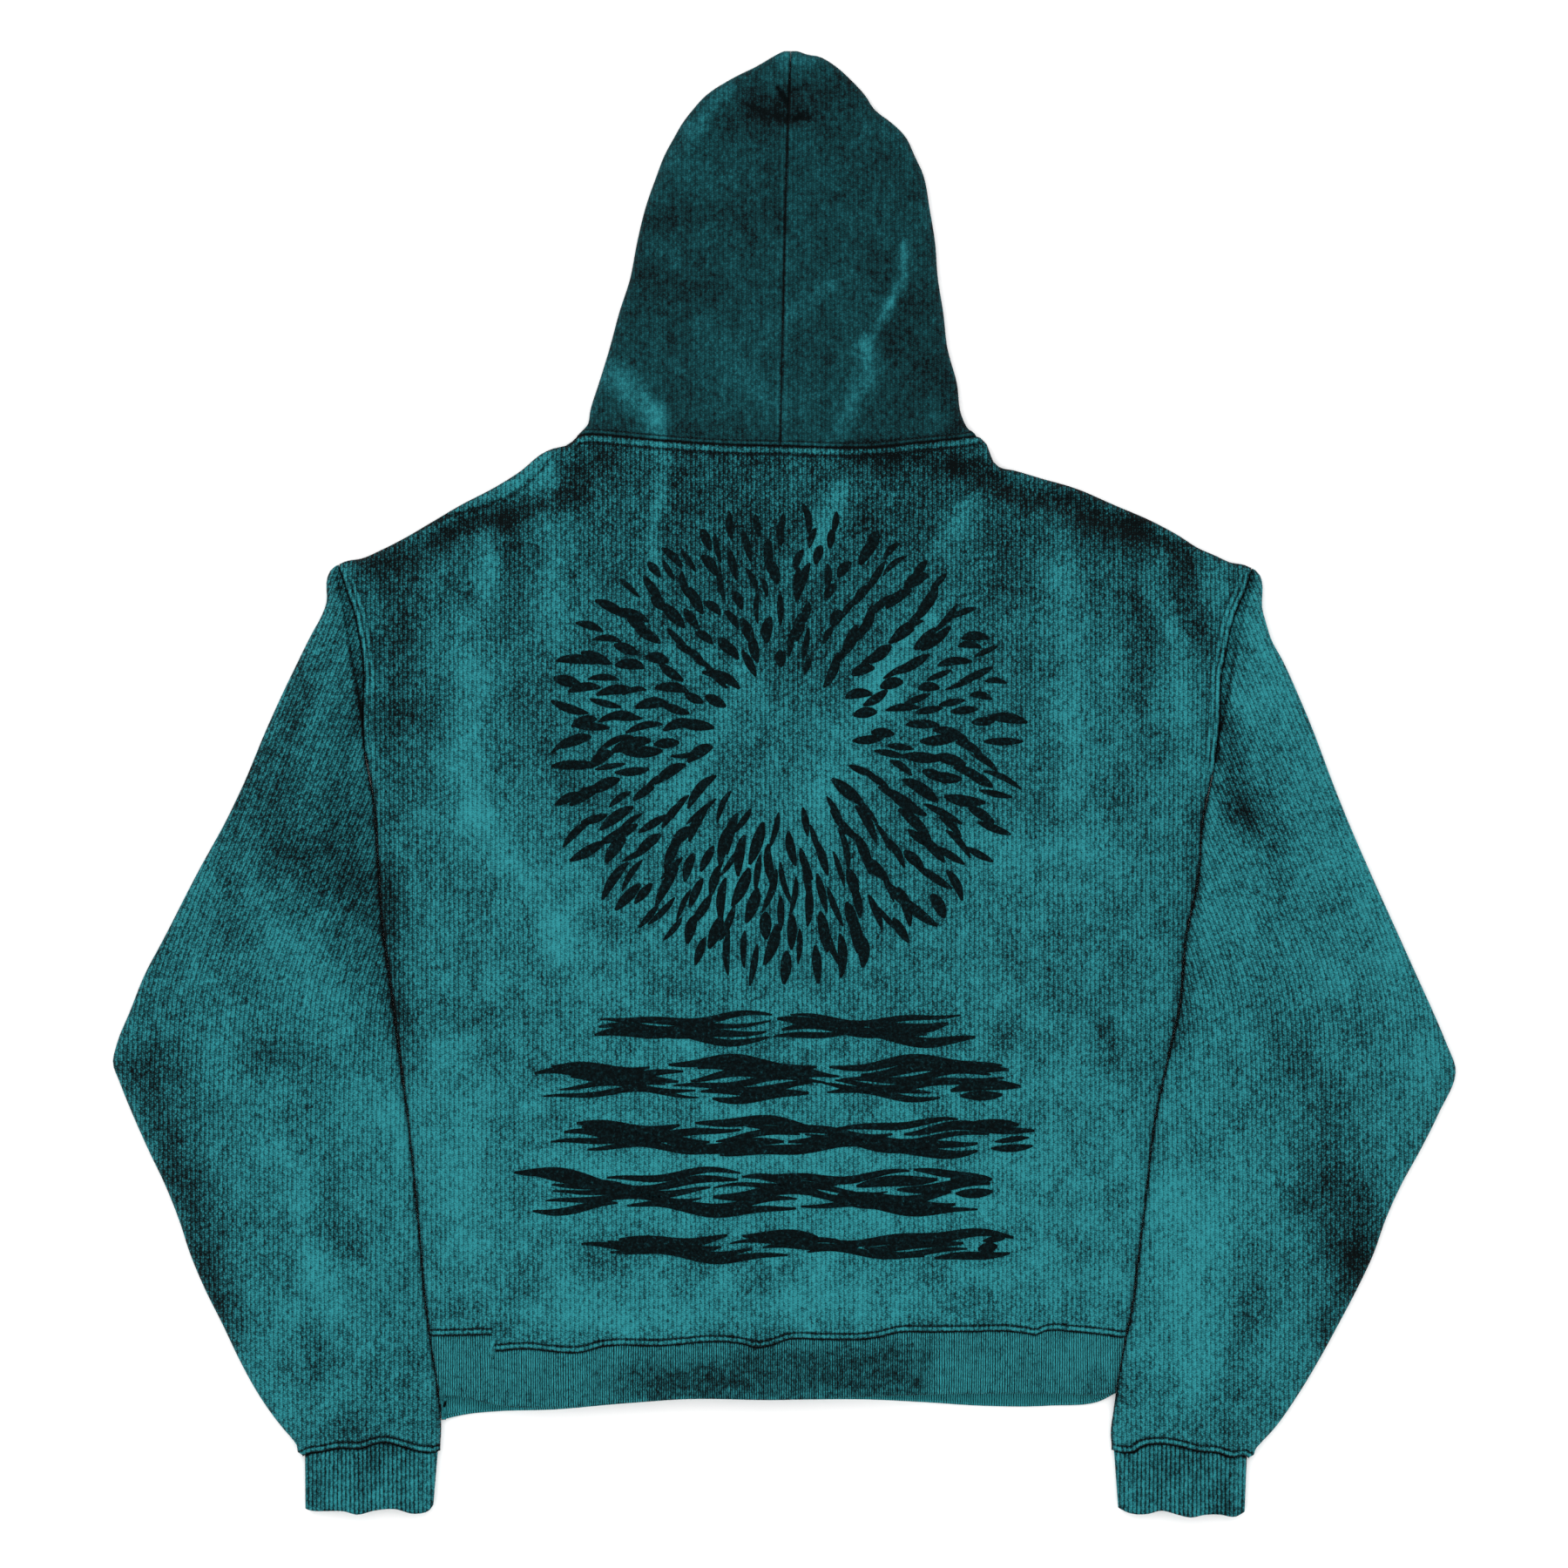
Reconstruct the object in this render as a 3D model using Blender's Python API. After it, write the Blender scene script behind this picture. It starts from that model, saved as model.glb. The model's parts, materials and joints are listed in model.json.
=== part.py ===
"""A hooded sweatshirt that lies flat with its back up.

Each cut piece is one closed solid of cloth: the back, the front, the two halves
of the hood, two sleeves, two rib cuffs, the rib waistband and the front pocket.
X runs across the garment, Y from the hem to the hood, and Z up from the surface
that it lies on. The origin is the middle of the ground that it covers.

Air holds the upper layer up. Its height depends only on how far a point is from
the nearest folded edge, so two pieces that are sewn together meet at one height.
All sizes are in metres. Places are given for the right half and mirrored.
"""

from math import copysign, exp, hypot, sqrt

import bmesh
import bpy

# Cloth
CLOTH = 0.0028           # brushed fleece
DOUBLE_CLOTH = 0.0040    # lined hood and folded rib
SEAM_GAP = 0.0004        # left between two pieces that are sewn together
NECKLINE_GAP = 0.0016    # the same, along the curved front neckline

# Height of the upper layer over the ground
RIM_HEIGHT = 0.004       # the outermost line of a folded edge
FOLD_RADIUS = 0.006      # how tightly the upper layer turns over at that edge
CROWN_HEIGHT = 0.034     # far away from every edge
CROWN_REACH = 0.070      # how far in from an edge the cloth keeps on rising
OPEN_END_SHARE = 0.5     # how much of that rise is lost at the open end of the hem or a cuff
OPEN_END_REACH = 0.090   # how far in from an open end it is felt

# Body
NECK_CENTRE_Y = 0.250
NECK_POINT = (0.142, 0.254)
SHOULDER_TIP = (0.327, 0.160)
UNDERARM = (0.310, 0.022)
HEM_SEAM_Y = -0.405
BODY_SIDE = [
    UNDERARM, (0.302, -0.040), (0.294, -0.110), (0.280, -0.203), (0.266, -0.300), (0.256, -0.390),
    (0.250, HEM_SEAM_Y),
]
NECKLINE_CENTRE_Y = 0.165
NECKLINE_POWER = 2.5     # the front neckline is y = centre + rise * (x / half width) ** power

# Hood
HOOD_OUTLINE = [
    NECK_POINT, (0.142, 0.262), (0.136, 0.282), (0.122, 0.333), (0.113, 0.371), (0.107, 0.410),
    (0.097, 0.448), (0.076, 0.486), (0.052, 0.512), (0.028, 0.530), (0.0, 0.538),
]
FACE_OPENING = [
    (0.004, 0.174), (0.030, 0.212), (0.056, 0.270), (0.069, 0.340), (0.067, 0.410), (0.050, 0.465),
    (0.026, 0.499), (0.0, 0.512),
]

# Sleeve: its two folded edges, from the armhole to the cuff. The first rings fan out from the underarm.
SLEEVE_OUTER = [
    SHOULDER_TIP, (0.345, 0.148), (0.373, 0.064), (0.400, 0.0), (0.430, -0.064),
    (0.461, -0.128), (0.493, -0.205), (0.4687, -0.260), (0.448, -0.307), (0.416, -0.384), (0.382, -0.448),
    (0.359, -0.478), (0.345, -0.486),
]
SLEEVE_INNER = [
    UNDERARM, (0.314, 0.014), (0.315, 0.002), (0.312, -0.018), (0.306, -0.045),
    (0.297, -0.112), (0.285, -0.195), (0.2757, -0.260), (0.270, -0.300), (0.260, -0.384), (0.252, -0.446),
    (0.247, -0.476), (0.251, -0.486),
]
SLEEVE_WIDTH = 0.190
FOREARM_RING = 7         # the ring at which the sleeve's cloth is divided, below the elbow

# Rib
CUFF_END_Y = -0.538
WAISTBAND_END_Y = -0.453

# Pocket on the front, which faces the ground
POCKET_CLOTH = 0.0025
POCKET_TOP_Y = -0.170
POCKET_TOP_HALF = 0.110
POCKET_HALF = 0.170
POCKET_SIDE_Y = -0.290   # where the slanted hand opening ends and the sewn side begins
POCKET_ROOM = 0.0062     # air between the pocket and the front
POCKET_MOUTH = 0.030     # how far past the hand openings that air reaches
POCKET_SURROUND = 0.035  # how far past the pocket the front still lies at the pocket's height
POCKET_SLOPE = 0.030     # over what width the front comes down

# Mesh density: distances from a folded edge at which the cloth gets a line of its own
UPPER_RIM_LINES = (0.0, 0.0015, 0.005, 0.013)
LOWER_RIM_LINES = (0.0, 0.0012, 0.004)
SAME_POINT = 0.000001    # points nearer than this are one

TEAL = (0.022, 0.120, 0.135, 1.0)
DEEP_TEAL = (0.010, 0.052, 0.058, 1.0)
RIB_TEAL = (0.016, 0.090, 0.100, 1.0)


def smooth_step(amount):
    """Rise from 0 to 1 with a level start and end."""
    amount = min(max(amount, 0.0), 1.0)
    return amount * amount * (3.0 - 2.0 * amount)


def blend(start, end, amount):
    """Give the point that lies a share of the way from start to end."""
    return tuple(a + (b - a) * amount for a, b in zip(start, end))


def smooth_curve(points, steps=5):
    """Run a Catmull-Rom curve through the points."""
    padded = [points[0], *points, points[-1]]
    curve = []
    for before, start, end, after in zip(padded, padded[1:], padded[2:], padded[3:]):
        for step in range(steps):
            t = step / steps
            curve.append(tuple(
                0.5 * (2 * b + (c - a) * t + (2 * a - 5 * b + 4 * c - d) * t * t + (3 * (b - c) + d - a) * t ** 3)
                for a, b, c, d in zip(before, start, end, after)
            ))
    curve.append(points[-1])
    return curve


def distance_to_line(x, y, line):
    """Measure how far a point lies from a polyline."""
    nearest = hypot(x - line[0][0], y - line[0][1])
    for (ax, ay), (bx, by) in zip(line, line[1:]):
        run, rise = bx - ax, by - ay
        share = ((x - ax) * run + (y - ay) * rise) / (run * run + rise * rise)
        share = min(max(share, 0.0), 1.0)
        nearest = min(nearest, hypot(x - ax - share * run, y - ay - share * rise))
    return nearest


OUTER_EDGE = [*reversed(HOOD_OUTLINE), *SLEEVE_OUTER, (SLEEVE_OUTER[-1][0], CUFF_END_Y)]
SLEEVE_INNER_EDGE = [*SLEEVE_INNER, (SLEEVE_INNER[-1][0], CUFF_END_Y)]
BODY_SIDE_EDGE = [*BODY_SIDE, (BODY_SIDE[-1][0], WAISTBAND_END_Y)]


def edge_distance(x, y):
    """Measure the distance to the folded edges, blended so that no crease lies midway between two."""
    distances = []
    for side in (1, -1):
        distances.append(distance_to_line(side * x, y, OUTER_EDGE))
        distances.append(min(
            distance_to_line(side * x, y, SLEEVE_INNER_EDGE),
            distance_to_line(side * x, y, BODY_SIDE_EDGE),
        ))
    if min(distances) < SAME_POINT:
        return 0.0
    return sum(distance ** -4 for distance in distances) ** -0.25


def fullness(x, y):
    """How much of its rise the upper layer keeps: less towards the open ends of the hem and the cuffs."""
    end_y = WAISTBAND_END_Y if abs(x) <= body_half_width(y) else CUFF_END_Y
    return 1.0 - OPEN_END_SHARE * exp(-max(y - end_y, 0.0) / OPEN_END_REACH)


def upper_height(x, y):
    """Height of the outer face of the upper layer."""
    distance = edge_distance(x, y)
    turned = 1.0 - min(distance / FOLD_RADIUS, 1.0)
    rise = (CROWN_HEIGHT - RIM_HEIGHT - FOLD_RADIUS) * fullness(x, y)
    return RIM_HEIGHT + FOLD_RADIUS * sqrt(1.0 - turned * turned) + rise * (1.0 - exp(-distance / CROWN_REACH))


def lower_height(x, y):
    """Height of the outer face of the lower layer, which turns up to the rim at a folded edge."""
    turned = 1.0 - min(edge_distance(x, y) / RIM_HEIGHT, 1.0)
    return RIM_HEIGHT * (1.0 - sqrt(1.0 - turned * turned))


def spread(width, rim_lines, middle):
    """Shares of a width, from 0 to 1: close together at both folded edges and even between them."""
    rim = [line / width for line in rim_lines]
    start, end = rim[-1], 1.0 - rim[-1]
    inside = [start + (end - start) * step / (middle + 1) for step in range(1, middle + 1)]
    return [*rim, *inside, *(1.0 - share for share in reversed(rim))]


def new_material(name, colour, roughness):
    """Make a plain material."""
    material = bpy.data.materials.new(name)
    material.use_nodes = True
    shader = material.node_tree.nodes["Principled BSDF"]
    shader.inputs["Base Color"].default_value = colour
    shader.inputs["Roughness"].default_value = roughness
    shader.inputs["Metallic"].default_value = 0.0
    return material


def lay_cloth(name, rows, material, parent, thickness=None, keep_clear=None):
    """Turn rows of points into one piece of cloth.

    A sheet gets its thickness here, inwards, and keep_clear moves a point that this pushes past a
    seam back to that seam. The rows of a tube already close on themselves.
    """
    last_column, last_row = len(rows[0]) - 1, len(rows) - 1
    cloth = bmesh.new()
    bmesh.ops.create_grid(cloth, x_segments=last_column, y_segments=last_row, size=1.0)
    for vertex in cloth.verts:
        column = round((vertex.co.x + 1.0) / 2.0 * last_column)
        row = round((vertex.co.y + 1.0) / 2.0 * last_row)
        vertex.co = rows[row][column]
    bmesh.ops.remove_doubles(cloth, verts=cloth.verts, dist=SAME_POINT)
    cloth.normal_update()
    highest = max(cloth.faces, key=lambda face: face.calc_center_median().z)
    if highest.normal.z < 0.0:
        bmesh.ops.reverse_faces(cloth, faces=cloth.faces)
        cloth.normal_update()
    if thickness:
        bmesh.ops.solidify(cloth, geom=cloth.faces, thickness=thickness)
    if keep_clear:
        for vertex in cloth.verts:
            vertex.co = keep_clear(*vertex.co)
    mesh = bpy.data.meshes.new(name)
    cloth.to_mesh(mesh)
    cloth.free()
    mesh.materials.append(material)
    mesh.shade_smooth()
    piece = bpy.data.objects.new(name, mesh)
    bpy.context.scene.collection.objects.link(piece)
    piece.parent = parent
    return piece


def mirrored(rows, side):
    """Give the rows for the right (1) or for the left (-1) half."""
    return [[(side * x, y, z) for x, y, z in row] for row in rows]


def tube_ring(start, end, upper_shares, lower_shares, wall=0.0):
    """Points round a flattened tube: over the upper layer from start to end, and back along the lower one.

    With a wall, the ring lies that far inside the tube's outer face.
    """
    inset = wall / hypot(end[0] - start[0], end[1] - start[1])

    def place(share):
        return blend(start, end, inset + share * (1.0 - 2.0 * inset))

    fold_start, fold_end = place(0.0), place(1.0)
    over = [place(share) for share in upper_shares[1:-1]]
    under = [place(1.0 - share) for share in lower_shares[1:-1]]
    ring = [(*fold_start, RIM_HEIGHT)]
    ring += [(x, y, upper_height(x, y) - wall) for x, y in over]
    ring += [(*fold_end, RIM_HEIGHT)]
    ring += [(x, y, min(lower_height(x, y) + wall, RIM_HEIGHT)) for x, y in under]
    return [*ring, ring[0]]


def tube_rows(folds, width, middle, wall):
    """Rings of a tube from pairs of points on its two folded edges: along its outside, and back inside."""
    upper_shares = spread(width, UPPER_RIM_LINES, middle)
    lower_shares = spread(width, LOWER_RIM_LINES, middle // 2)
    outside = [tube_ring(start, end, upper_shares, lower_shares) for start, end in folds]
    inside = [tube_ring(start, end, upper_shares, lower_shares, wall) for start, end in folds]
    return [*outside, *reversed(inside), outside[0]]


def sheet_rows(outside, inside):
    """Rows of a sheet with two faces: along its outside, and back inside.

    Both faces share a line midway through the cloth at their first and last column.
    """
    def edged(row, other):
        return [blend(row[0], other[0], 0.5), *row, blend(row[-1], other[-1], 0.5)]

    outer = [edged(row, other) for row, other in zip(outside, inside)]
    inner = [edged(other, row) for row, other in zip(outside, inside)]
    return [*outer, *reversed(inner), outer[0]]


def armhole_x(y):
    """How far out the straight armhole seam lies at a height."""
    share = (y - UNDERARM[1]) / (SHOULDER_TIP[1] - UNDERARM[1])
    return UNDERARM[0] + (SHOULDER_TIP[0] - UNDERARM[0]) * share


def inside_armhole(x, y, z):
    """Keep a point of the body on its own side of the armhole seam."""
    if y > UNDERARM[1]:
        x = copysign(min(abs(x), armhole_x(y)), x)
    return (x, y, z)


def inside_back(x, y, z):
    """Keep a point of the back over the front and inside the armhole."""
    return inside_armhole(x, y, max(z, CLOTH + SEAM_GAP))


def body_half_width(y):
    """Half the width of the body at a height: side, armhole, then the shoulder's full width."""
    line = [*reversed(BODY_SIDE), SHOULDER_TIP]
    for (ax, ay), (bx, by) in zip(line, line[1:]):
        if y <= by:
            return ax + (bx - ax) * max(y - ay, 0.0) / (by - ay)
    return SHOULDER_TIP[0]


def shoulder_y(x):
    """Height of the straight shoulder seam."""
    share = (x - NECK_POINT[0]) / (SHOULDER_TIP[0] - NECK_POINT[0])
    return NECK_POINT[1] + (SHOULDER_TIP[1] - NECK_POINT[1]) * share


def back_neck_y(x):
    """Height of the neck seam on the back, which sags a little in the middle."""
    return NECK_CENTRE_Y + (NECK_POINT[1] - NECK_CENTRE_Y) * (x / NECK_POINT[0]) ** 2


def front_neck_y(x):
    """Height of the front neckline."""
    return NECKLINE_CENTRE_Y + (NECK_POINT[1] - NECKLINE_CENTRE_Y) * (x / NECK_POINT[0]) ** NECKLINE_POWER


def body_rows(neck_y, height, neck_columns):
    """Rows of points on a body panel, from the hem seam to the neck and the shoulders."""
    shoulder_columns, side_rows, armhole_rows = 3, 9, 2
    half_width = SHOULDER_TIP[0]
    rim = UPPER_RIM_LINES[-1]
    neck_share = NECK_POINT[0] / half_width
    rim_share = 1.0 - rim / half_width
    half = [neck_share * step / neck_columns for step in range(neck_columns)]
    half += [neck_share + (rim_share - neck_share) * step / shoulder_columns for step in range(shoulder_columns)]
    half += [1.0 - line / half_width for line in reversed(UPPER_RIM_LINES)]
    columns = [-share for share in reversed(half[1:])] + half

    reach = SHOULDER_TIP[1] - rim - HEM_SEAM_Y
    underarm = (UNDERARM[1] - HEM_SEAM_Y) / reach
    armhole = [line / reach for line in (*UPPER_RIM_LINES[1:], 2.0 * rim)]
    shares = [underarm * step / side_rows for step in range(side_rows + 1)]
    shares += [underarm + share for share in armhole]
    last = shares[-1]
    shares += [last + (1.0 - last) * step / armhole_rows for step in range(1, armhole_rows)]

    def point(share, y):
        x = share * body_half_width(y)
        return (x, y, height(x, y))

    def top_y(share):
        x = abs(share) * half_width
        return neck_y(x) if x <= NECK_POINT[0] else shoulder_y(x)

    rows = []
    for row_share in shares:
        rows.append([
            point(share, HEM_SEAM_Y + row_share * (top_y(share) - rim - HEM_SEAM_Y)) for share in columns
        ])
    for line in reversed(UPPER_RIM_LINES):
        rows.append([point(share, top_y(share) - line) for share in columns])
    return rows


def pocket_lift(x, y):
    """How far the front is lifted off the ground by the pocket and the air in it."""
    side = POCKET_HALF + POCKET_MOUTH * smooth_step((y - POCKET_SIDE_Y) / POCKET_SLOPE)
    over = smooth_step((POCKET_TOP_Y + POCKET_SURROUND + POCKET_SLOPE - y) / POCKET_SLOPE)
    over *= smooth_step((side + POCKET_SURROUND + POCKET_SLOPE - abs(x)) / POCKET_SLOPE)
    room = smooth_step((POCKET_TOP_Y - y) / POCKET_SLOPE) * smooth_step((y - HEM_SEAM_Y) / POCKET_SLOPE)
    room *= smooth_step((side - abs(x)) / POCKET_SLOPE)
    return (POCKET_CLOTH + SEAM_GAP) * over + POCKET_ROOM * room


def front_height(x, y):
    """Height of the front's inner face, which looks up at the back."""
    return CLOTH + pocket_lift(x, y)


def inset_line(line, distance):
    """Move a line to its left, square to the run between each point's neighbours."""
    moved = []
    for before, (x, y), after in zip([line[0], *line], line, [*line[1:], line[-1]]):
        run, rise = after[0] - before[0], after[1] - before[1]
        length = hypot(run, rise)
        moved.append((x - distance * rise / length, y + distance * run / length))
    return moved


def hood_face(wall):
    """Rows on one face of the right half of the hood, which lies a wall's thickness inside the outer one.

    Each row runs from the centre seam over to the folded edge, then under to the face opening.
    """
    upper_columns, lower_columns = 4, 3
    half_gap = SEAM_GAP / 2.0
    upper_rim = [line / NECK_POINT[0] for line in UPPER_RIM_LINES[1:]]
    lower_rim = [line / NECK_POINT[0] for line in LOWER_RIM_LINES[1:]]
    upper_shares = [(1.0 - upper_rim[-1]) * step / upper_columns for step in range(upper_columns)]
    upper_shares += [1.0 - share for share in reversed(upper_rim)]
    lower_shares = [
        lower_rim[-1] + (1.0 - lower_rim[-1]) * step / lower_columns for step in range(1, lower_columns + 1)
    ]
    opening = smooth_curve(FACE_OPENING)
    rows = []
    for index, (edge_x, edge_y) in enumerate(inset_line(HOOD_OUTLINE, wall)):
        along = index / (len(HOOD_OUTLINE) - 1)
        place = along * (len(opening) - 1)
        step = min(int(place), len(opening) - 2)
        opening_point = blend(opening[step], opening[step + 1], place - step)
        row = []
        for share in upper_shares:
            x = max(share * edge_x, half_gap)
            sag = (back_neck_y(x) - NECK_POINT[1]) * (1.0 - along) ** 4
            y = edge_y + sag + SEAM_GAP * (1.0 - along)
            row.append((x, y, upper_height(x, y) - wall))
        row.append((max(edge_x, half_gap), edge_y + SEAM_GAP * (1.0 - along), RIM_HEIGHT))
        for share in (*lower_rim, *lower_shares):
            x, y = blend((edge_x, edge_y), opening_point, share)
            x = max(x, half_gap)
            neckline = front_neck_y(x) + NECKLINE_GAP
            y += (neckline - y) * (1.0 - along) ** 6
            row.append((x, y, min(lower_height(x, y) + wall, RIM_HEIGHT)))
        rows.append(row)
    return rows


def sleeve_rows():
    """Rings of the right sleeve from the armhole to below the elbow, and of its forearm from there to the cuff.

    The garment's sleeve is one piece of cloth. Its two solids stand a seam's gap apart.
    """
    folds = list(zip(SLEEVE_OUTER, SLEEVE_INNER))
    end, following = folds[FOREARM_RING], folds[FOREARM_RING + 1]
    gap_share = SEAM_GAP / (end[1][1] - following[1][1])
    start = tuple(blend(point, next_point, gap_share) for point, next_point in zip(end, following))
    lengths = (folds[:FOREARM_RING + 1], [start, *folds[FOREARM_RING + 1:]])
    halves = [tube_rows(length, SLEEVE_WIDTH, 4, CLOTH) for length in lengths]
    return [[[(x + SEAM_GAP, y, z) for x, y, z in ring] for ring in rings] for rings in halves]


def band_rows(outer_x, inner_x, seam_y, end_y, middle):
    """Rings of a cuff or of the waistband, from its seam to its end."""
    steps = 3
    start_y = seam_y - SEAM_GAP
    levels = [start_y + (end_y - start_y) * step / steps for step in range(steps + 1)]
    folds = [((outer_x, y), (inner_x, y)) for y in levels]
    return tube_rows(folds, outer_x - inner_x, middle, DOUBLE_CLOTH)


def pocket_rows():
    """Rows of the pocket from the hem seam to its top edge."""
    steps = 8
    rows = []
    for level_y in (HEM_SEAM_Y, POCKET_SIDE_Y, POCKET_TOP_Y):
        half = POCKET_TOP_HALF if level_y == POCKET_TOP_Y else POCKET_HALF
        rows.append([(half * (2.0 * step / steps - 1.0), level_y, POCKET_CLOTH) for step in range(steps + 1)])
    return rows


def main():
    for leftover in list(bpy.data.objects):
        bpy.data.objects.remove(leftover, do_unlink=True)
    garment = bpy.data.objects.new("hooded_sweatshirt", None)
    bpy.context.scene.collection.objects.link(garment)

    back = body_rows(back_neck_y, upper_height, 3)
    front = body_rows(front_neck_y, front_height, 6)
    waistband = band_rows(BODY_SIDE[-1][0], -BODY_SIDE[-1][0], HEM_SEAM_Y, WAISTBAND_END_Y, 12)
    lay_cloth("back_body", back, new_material("back fleece", TEAL, 0.92), garment, CLOTH, inside_back)
    lay_cloth("front_body", front, new_material("front fleece", TEAL, 0.92), garment, CLOTH, inside_armhole)
    lay_cloth("pocket", pocket_rows(), new_material("pocket fleece", TEAL, 0.92), garment, POCKET_CLOTH)
    lay_cloth("waistband", waistband, new_material("waistband rib", RIB_TEAL, 0.9), garment)

    hood, (sleeve, forearm) = sheet_rows(hood_face(0.0), hood_face(DOUBLE_CLOTH)), sleeve_rows()
    cuff = band_rows(SLEEVE_OUTER[-1][0], SLEEVE_INNER[-1][0], SLEEVE_OUTER[-1][1], CUFF_END_Y, 2)
    for side, hand in ((1, "right"), (-1, "left")):
        hood_fleece = new_material(f"{hand} hood fleece", DEEP_TEAL, 0.92)
        sleeve_fleece = new_material(f"{hand} sleeve fleece", TEAL, 0.92)
        cuff_rib = new_material(f"{hand} cuff rib", RIB_TEAL, 0.9)
        lay_cloth(f"hood_{hand}", mirrored(hood, side), hood_fleece, garment)
        lay_cloth(f"sleeve_{hand}", mirrored(sleeve, side), sleeve_fleece, garment)
        lay_cloth(f"forearm_{hand}", mirrored(forearm, side), sleeve_fleece, garment)
        lay_cloth(f"cuff_{hand}", mirrored(cuff, side), cuff_rib, garment)


main()
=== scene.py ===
"""A hooded sweatshirt in washed teal fleece, laid flat with its back up.

Every cut piece of cloth is a panel of its own that follows the garment's outline: a grid whose lines run
along the seams, so that seam ridges, rows of stitching and folds lie where they were sewn. All pieces share
one description of how the garment lies, so they meet at one height. X runs across the garment, Y from the
hem to the hood, and Z up. Outlines are given in millimetres, everything else is in metres.
"""

import json
import math
import random
from bisect import bisect_right

import bmesh
import bpy
from mathutils import Matrix, Vector, noise
from mathutils.bvhtree import BVHTree
from mathutils.kdtree import KDTree

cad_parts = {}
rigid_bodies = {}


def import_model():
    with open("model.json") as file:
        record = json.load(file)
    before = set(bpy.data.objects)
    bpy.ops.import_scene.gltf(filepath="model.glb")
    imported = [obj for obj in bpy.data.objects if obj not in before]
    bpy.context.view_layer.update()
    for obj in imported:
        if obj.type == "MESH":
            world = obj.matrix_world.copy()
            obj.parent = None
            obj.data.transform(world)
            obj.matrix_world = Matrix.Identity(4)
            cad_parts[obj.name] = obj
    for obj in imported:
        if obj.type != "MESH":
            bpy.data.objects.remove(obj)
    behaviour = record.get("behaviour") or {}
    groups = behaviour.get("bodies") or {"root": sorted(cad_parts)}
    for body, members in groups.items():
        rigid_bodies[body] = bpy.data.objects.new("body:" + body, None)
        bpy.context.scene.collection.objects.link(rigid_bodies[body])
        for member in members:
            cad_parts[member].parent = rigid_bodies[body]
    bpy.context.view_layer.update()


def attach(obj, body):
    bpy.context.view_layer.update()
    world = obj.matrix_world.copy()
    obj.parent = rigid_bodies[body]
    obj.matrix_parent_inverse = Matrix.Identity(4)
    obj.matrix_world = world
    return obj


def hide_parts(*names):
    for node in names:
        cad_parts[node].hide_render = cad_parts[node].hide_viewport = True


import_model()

bl_info = {
    "name": "Washed hooded sweatshirt",
    "version": (1, 0, 0),
    "blender": (4, 5, 0),
    "location": "3D View > Sidebar > Sweatshirt",
    "description": "Builds a hooded sweatshirt in washed fleece that lies flat with its back up",
    "category": "Object",
}

MM = 0.001
BODY = "root"
LEFT, RIGHT = -1, 1

# ---------------------------------------------------------------------------------------------------------
# Outlines as they lie, in millimetres
# ---------------------------------------------------------------------------------------------------------

CROWN_POINT = (5, 538)
NECK_CORNER = {LEFT: (-152, 255.4), RIGHT: (141, 255.4)}
HOOD_EDGE = {
    LEFT: [
        CROWN_POINT, (0, 538), (-8, 534), (-18, 528), (-38, 518), (-59, 504), (-67, 495), (-74, 486),
        (-81, 474), (-88, 461), (-93, 448), (-102, 422), (-108, 397), (-113, 371), (-121, 346), (-128, 320),
        (-136, 294), (-142.5, 273), (-144, 264), (-148, 259.5), NECK_CORNER[LEFT],
    ],
    RIGHT: [
        CROWN_POINT, (10, 538), (17, 535.5), (26, 534), (35, 529), (49, 517), (62, 502), (64.5, 497.5),
        (70, 492), (77, 487), (90, 474), (96, 461), (102, 448), (107, 422), (111, 397), (113, 371), (117, 346),
        (120, 320), (127, 294), (130.5, 270), (135, 261), NECK_CORNER[RIGHT],
    ],
}
SHOULDER_TIP = {LEFT: (-326.4, 161.3), RIGHT: (343, 158.6)}
SHOULDER_EDGE = {
    LEFT: [
        NECK_CORNER[LEFT], (-156.5, 250.3), (-160.8, 248.1), (-168.3, 246.7), (-177, 243), (-193, 230),
        (-212, 218), (-237, 205), (-259, 192), (-281, 179.2), (-299.5, 170), (-309, 165.8), (-322.6, 163.2),
        SHOULDER_TIP[LEFT],
    ],
    RIGHT: [
        NECK_CORNER[RIGHT], (146, 253), (150.4, 246.4), (153, 237.5), (157, 233), (168.3, 230.4), (190, 224),
        (212.5, 217.6), (242.6, 204.8), (272, 192), (289.7, 182.4), (304.4, 173), (316.7, 167.7),
        (327.7, 162.6), (338.1, 160.8), SHOULDER_TIP[RIGHT],
    ],
}
NECK_SEAM = [
    NECK_CORNER[LEFT], (-143, 256.6), (-134, 256), (-97, 252.2), (-44, 248.3), (0, 247.2), (64, 246.4),
    (100.5, 250.2), (128, 253.4), NECK_CORNER[RIGHT],
]
BACK_SEAM = [(-2.6, 247.3), (-1.3, 320), (0.6, 400), (1.9, 454), (3.2, 493), (4.2, 515), CROWN_POINT]
UNDERARM = {LEFT: (-307.4, 22.4), RIGHT: (314.9, 8)}
ARMHOLE = {
    LEFT: [
        SHOULDER_TIP[LEFT], (-320.6, 142.7), (-314.2, 124.2), (-311.6, 112), (-308.6, 96), (-307.4, 81.3),
        (-308.2, 57), (-308.2, 34.6), UNDERARM[LEFT],
    ],
    RIGHT: [
        SHOULDER_TIP[RIGHT], (338.6, 143.4), (330.9, 126), (326.4, 110.7), (323.2, 94), (320.4, 82),
        (319.4, 63.4), (319, 47.4), (317.4, 28.8), UNDERARM[RIGHT],
    ],
}
SHOULDER_STITCH = [(-169.6, 240.6), (-186.2, 222.1), (-203.5, 209.9), (-247.7, 195.2), (-272, 185.6)]
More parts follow.
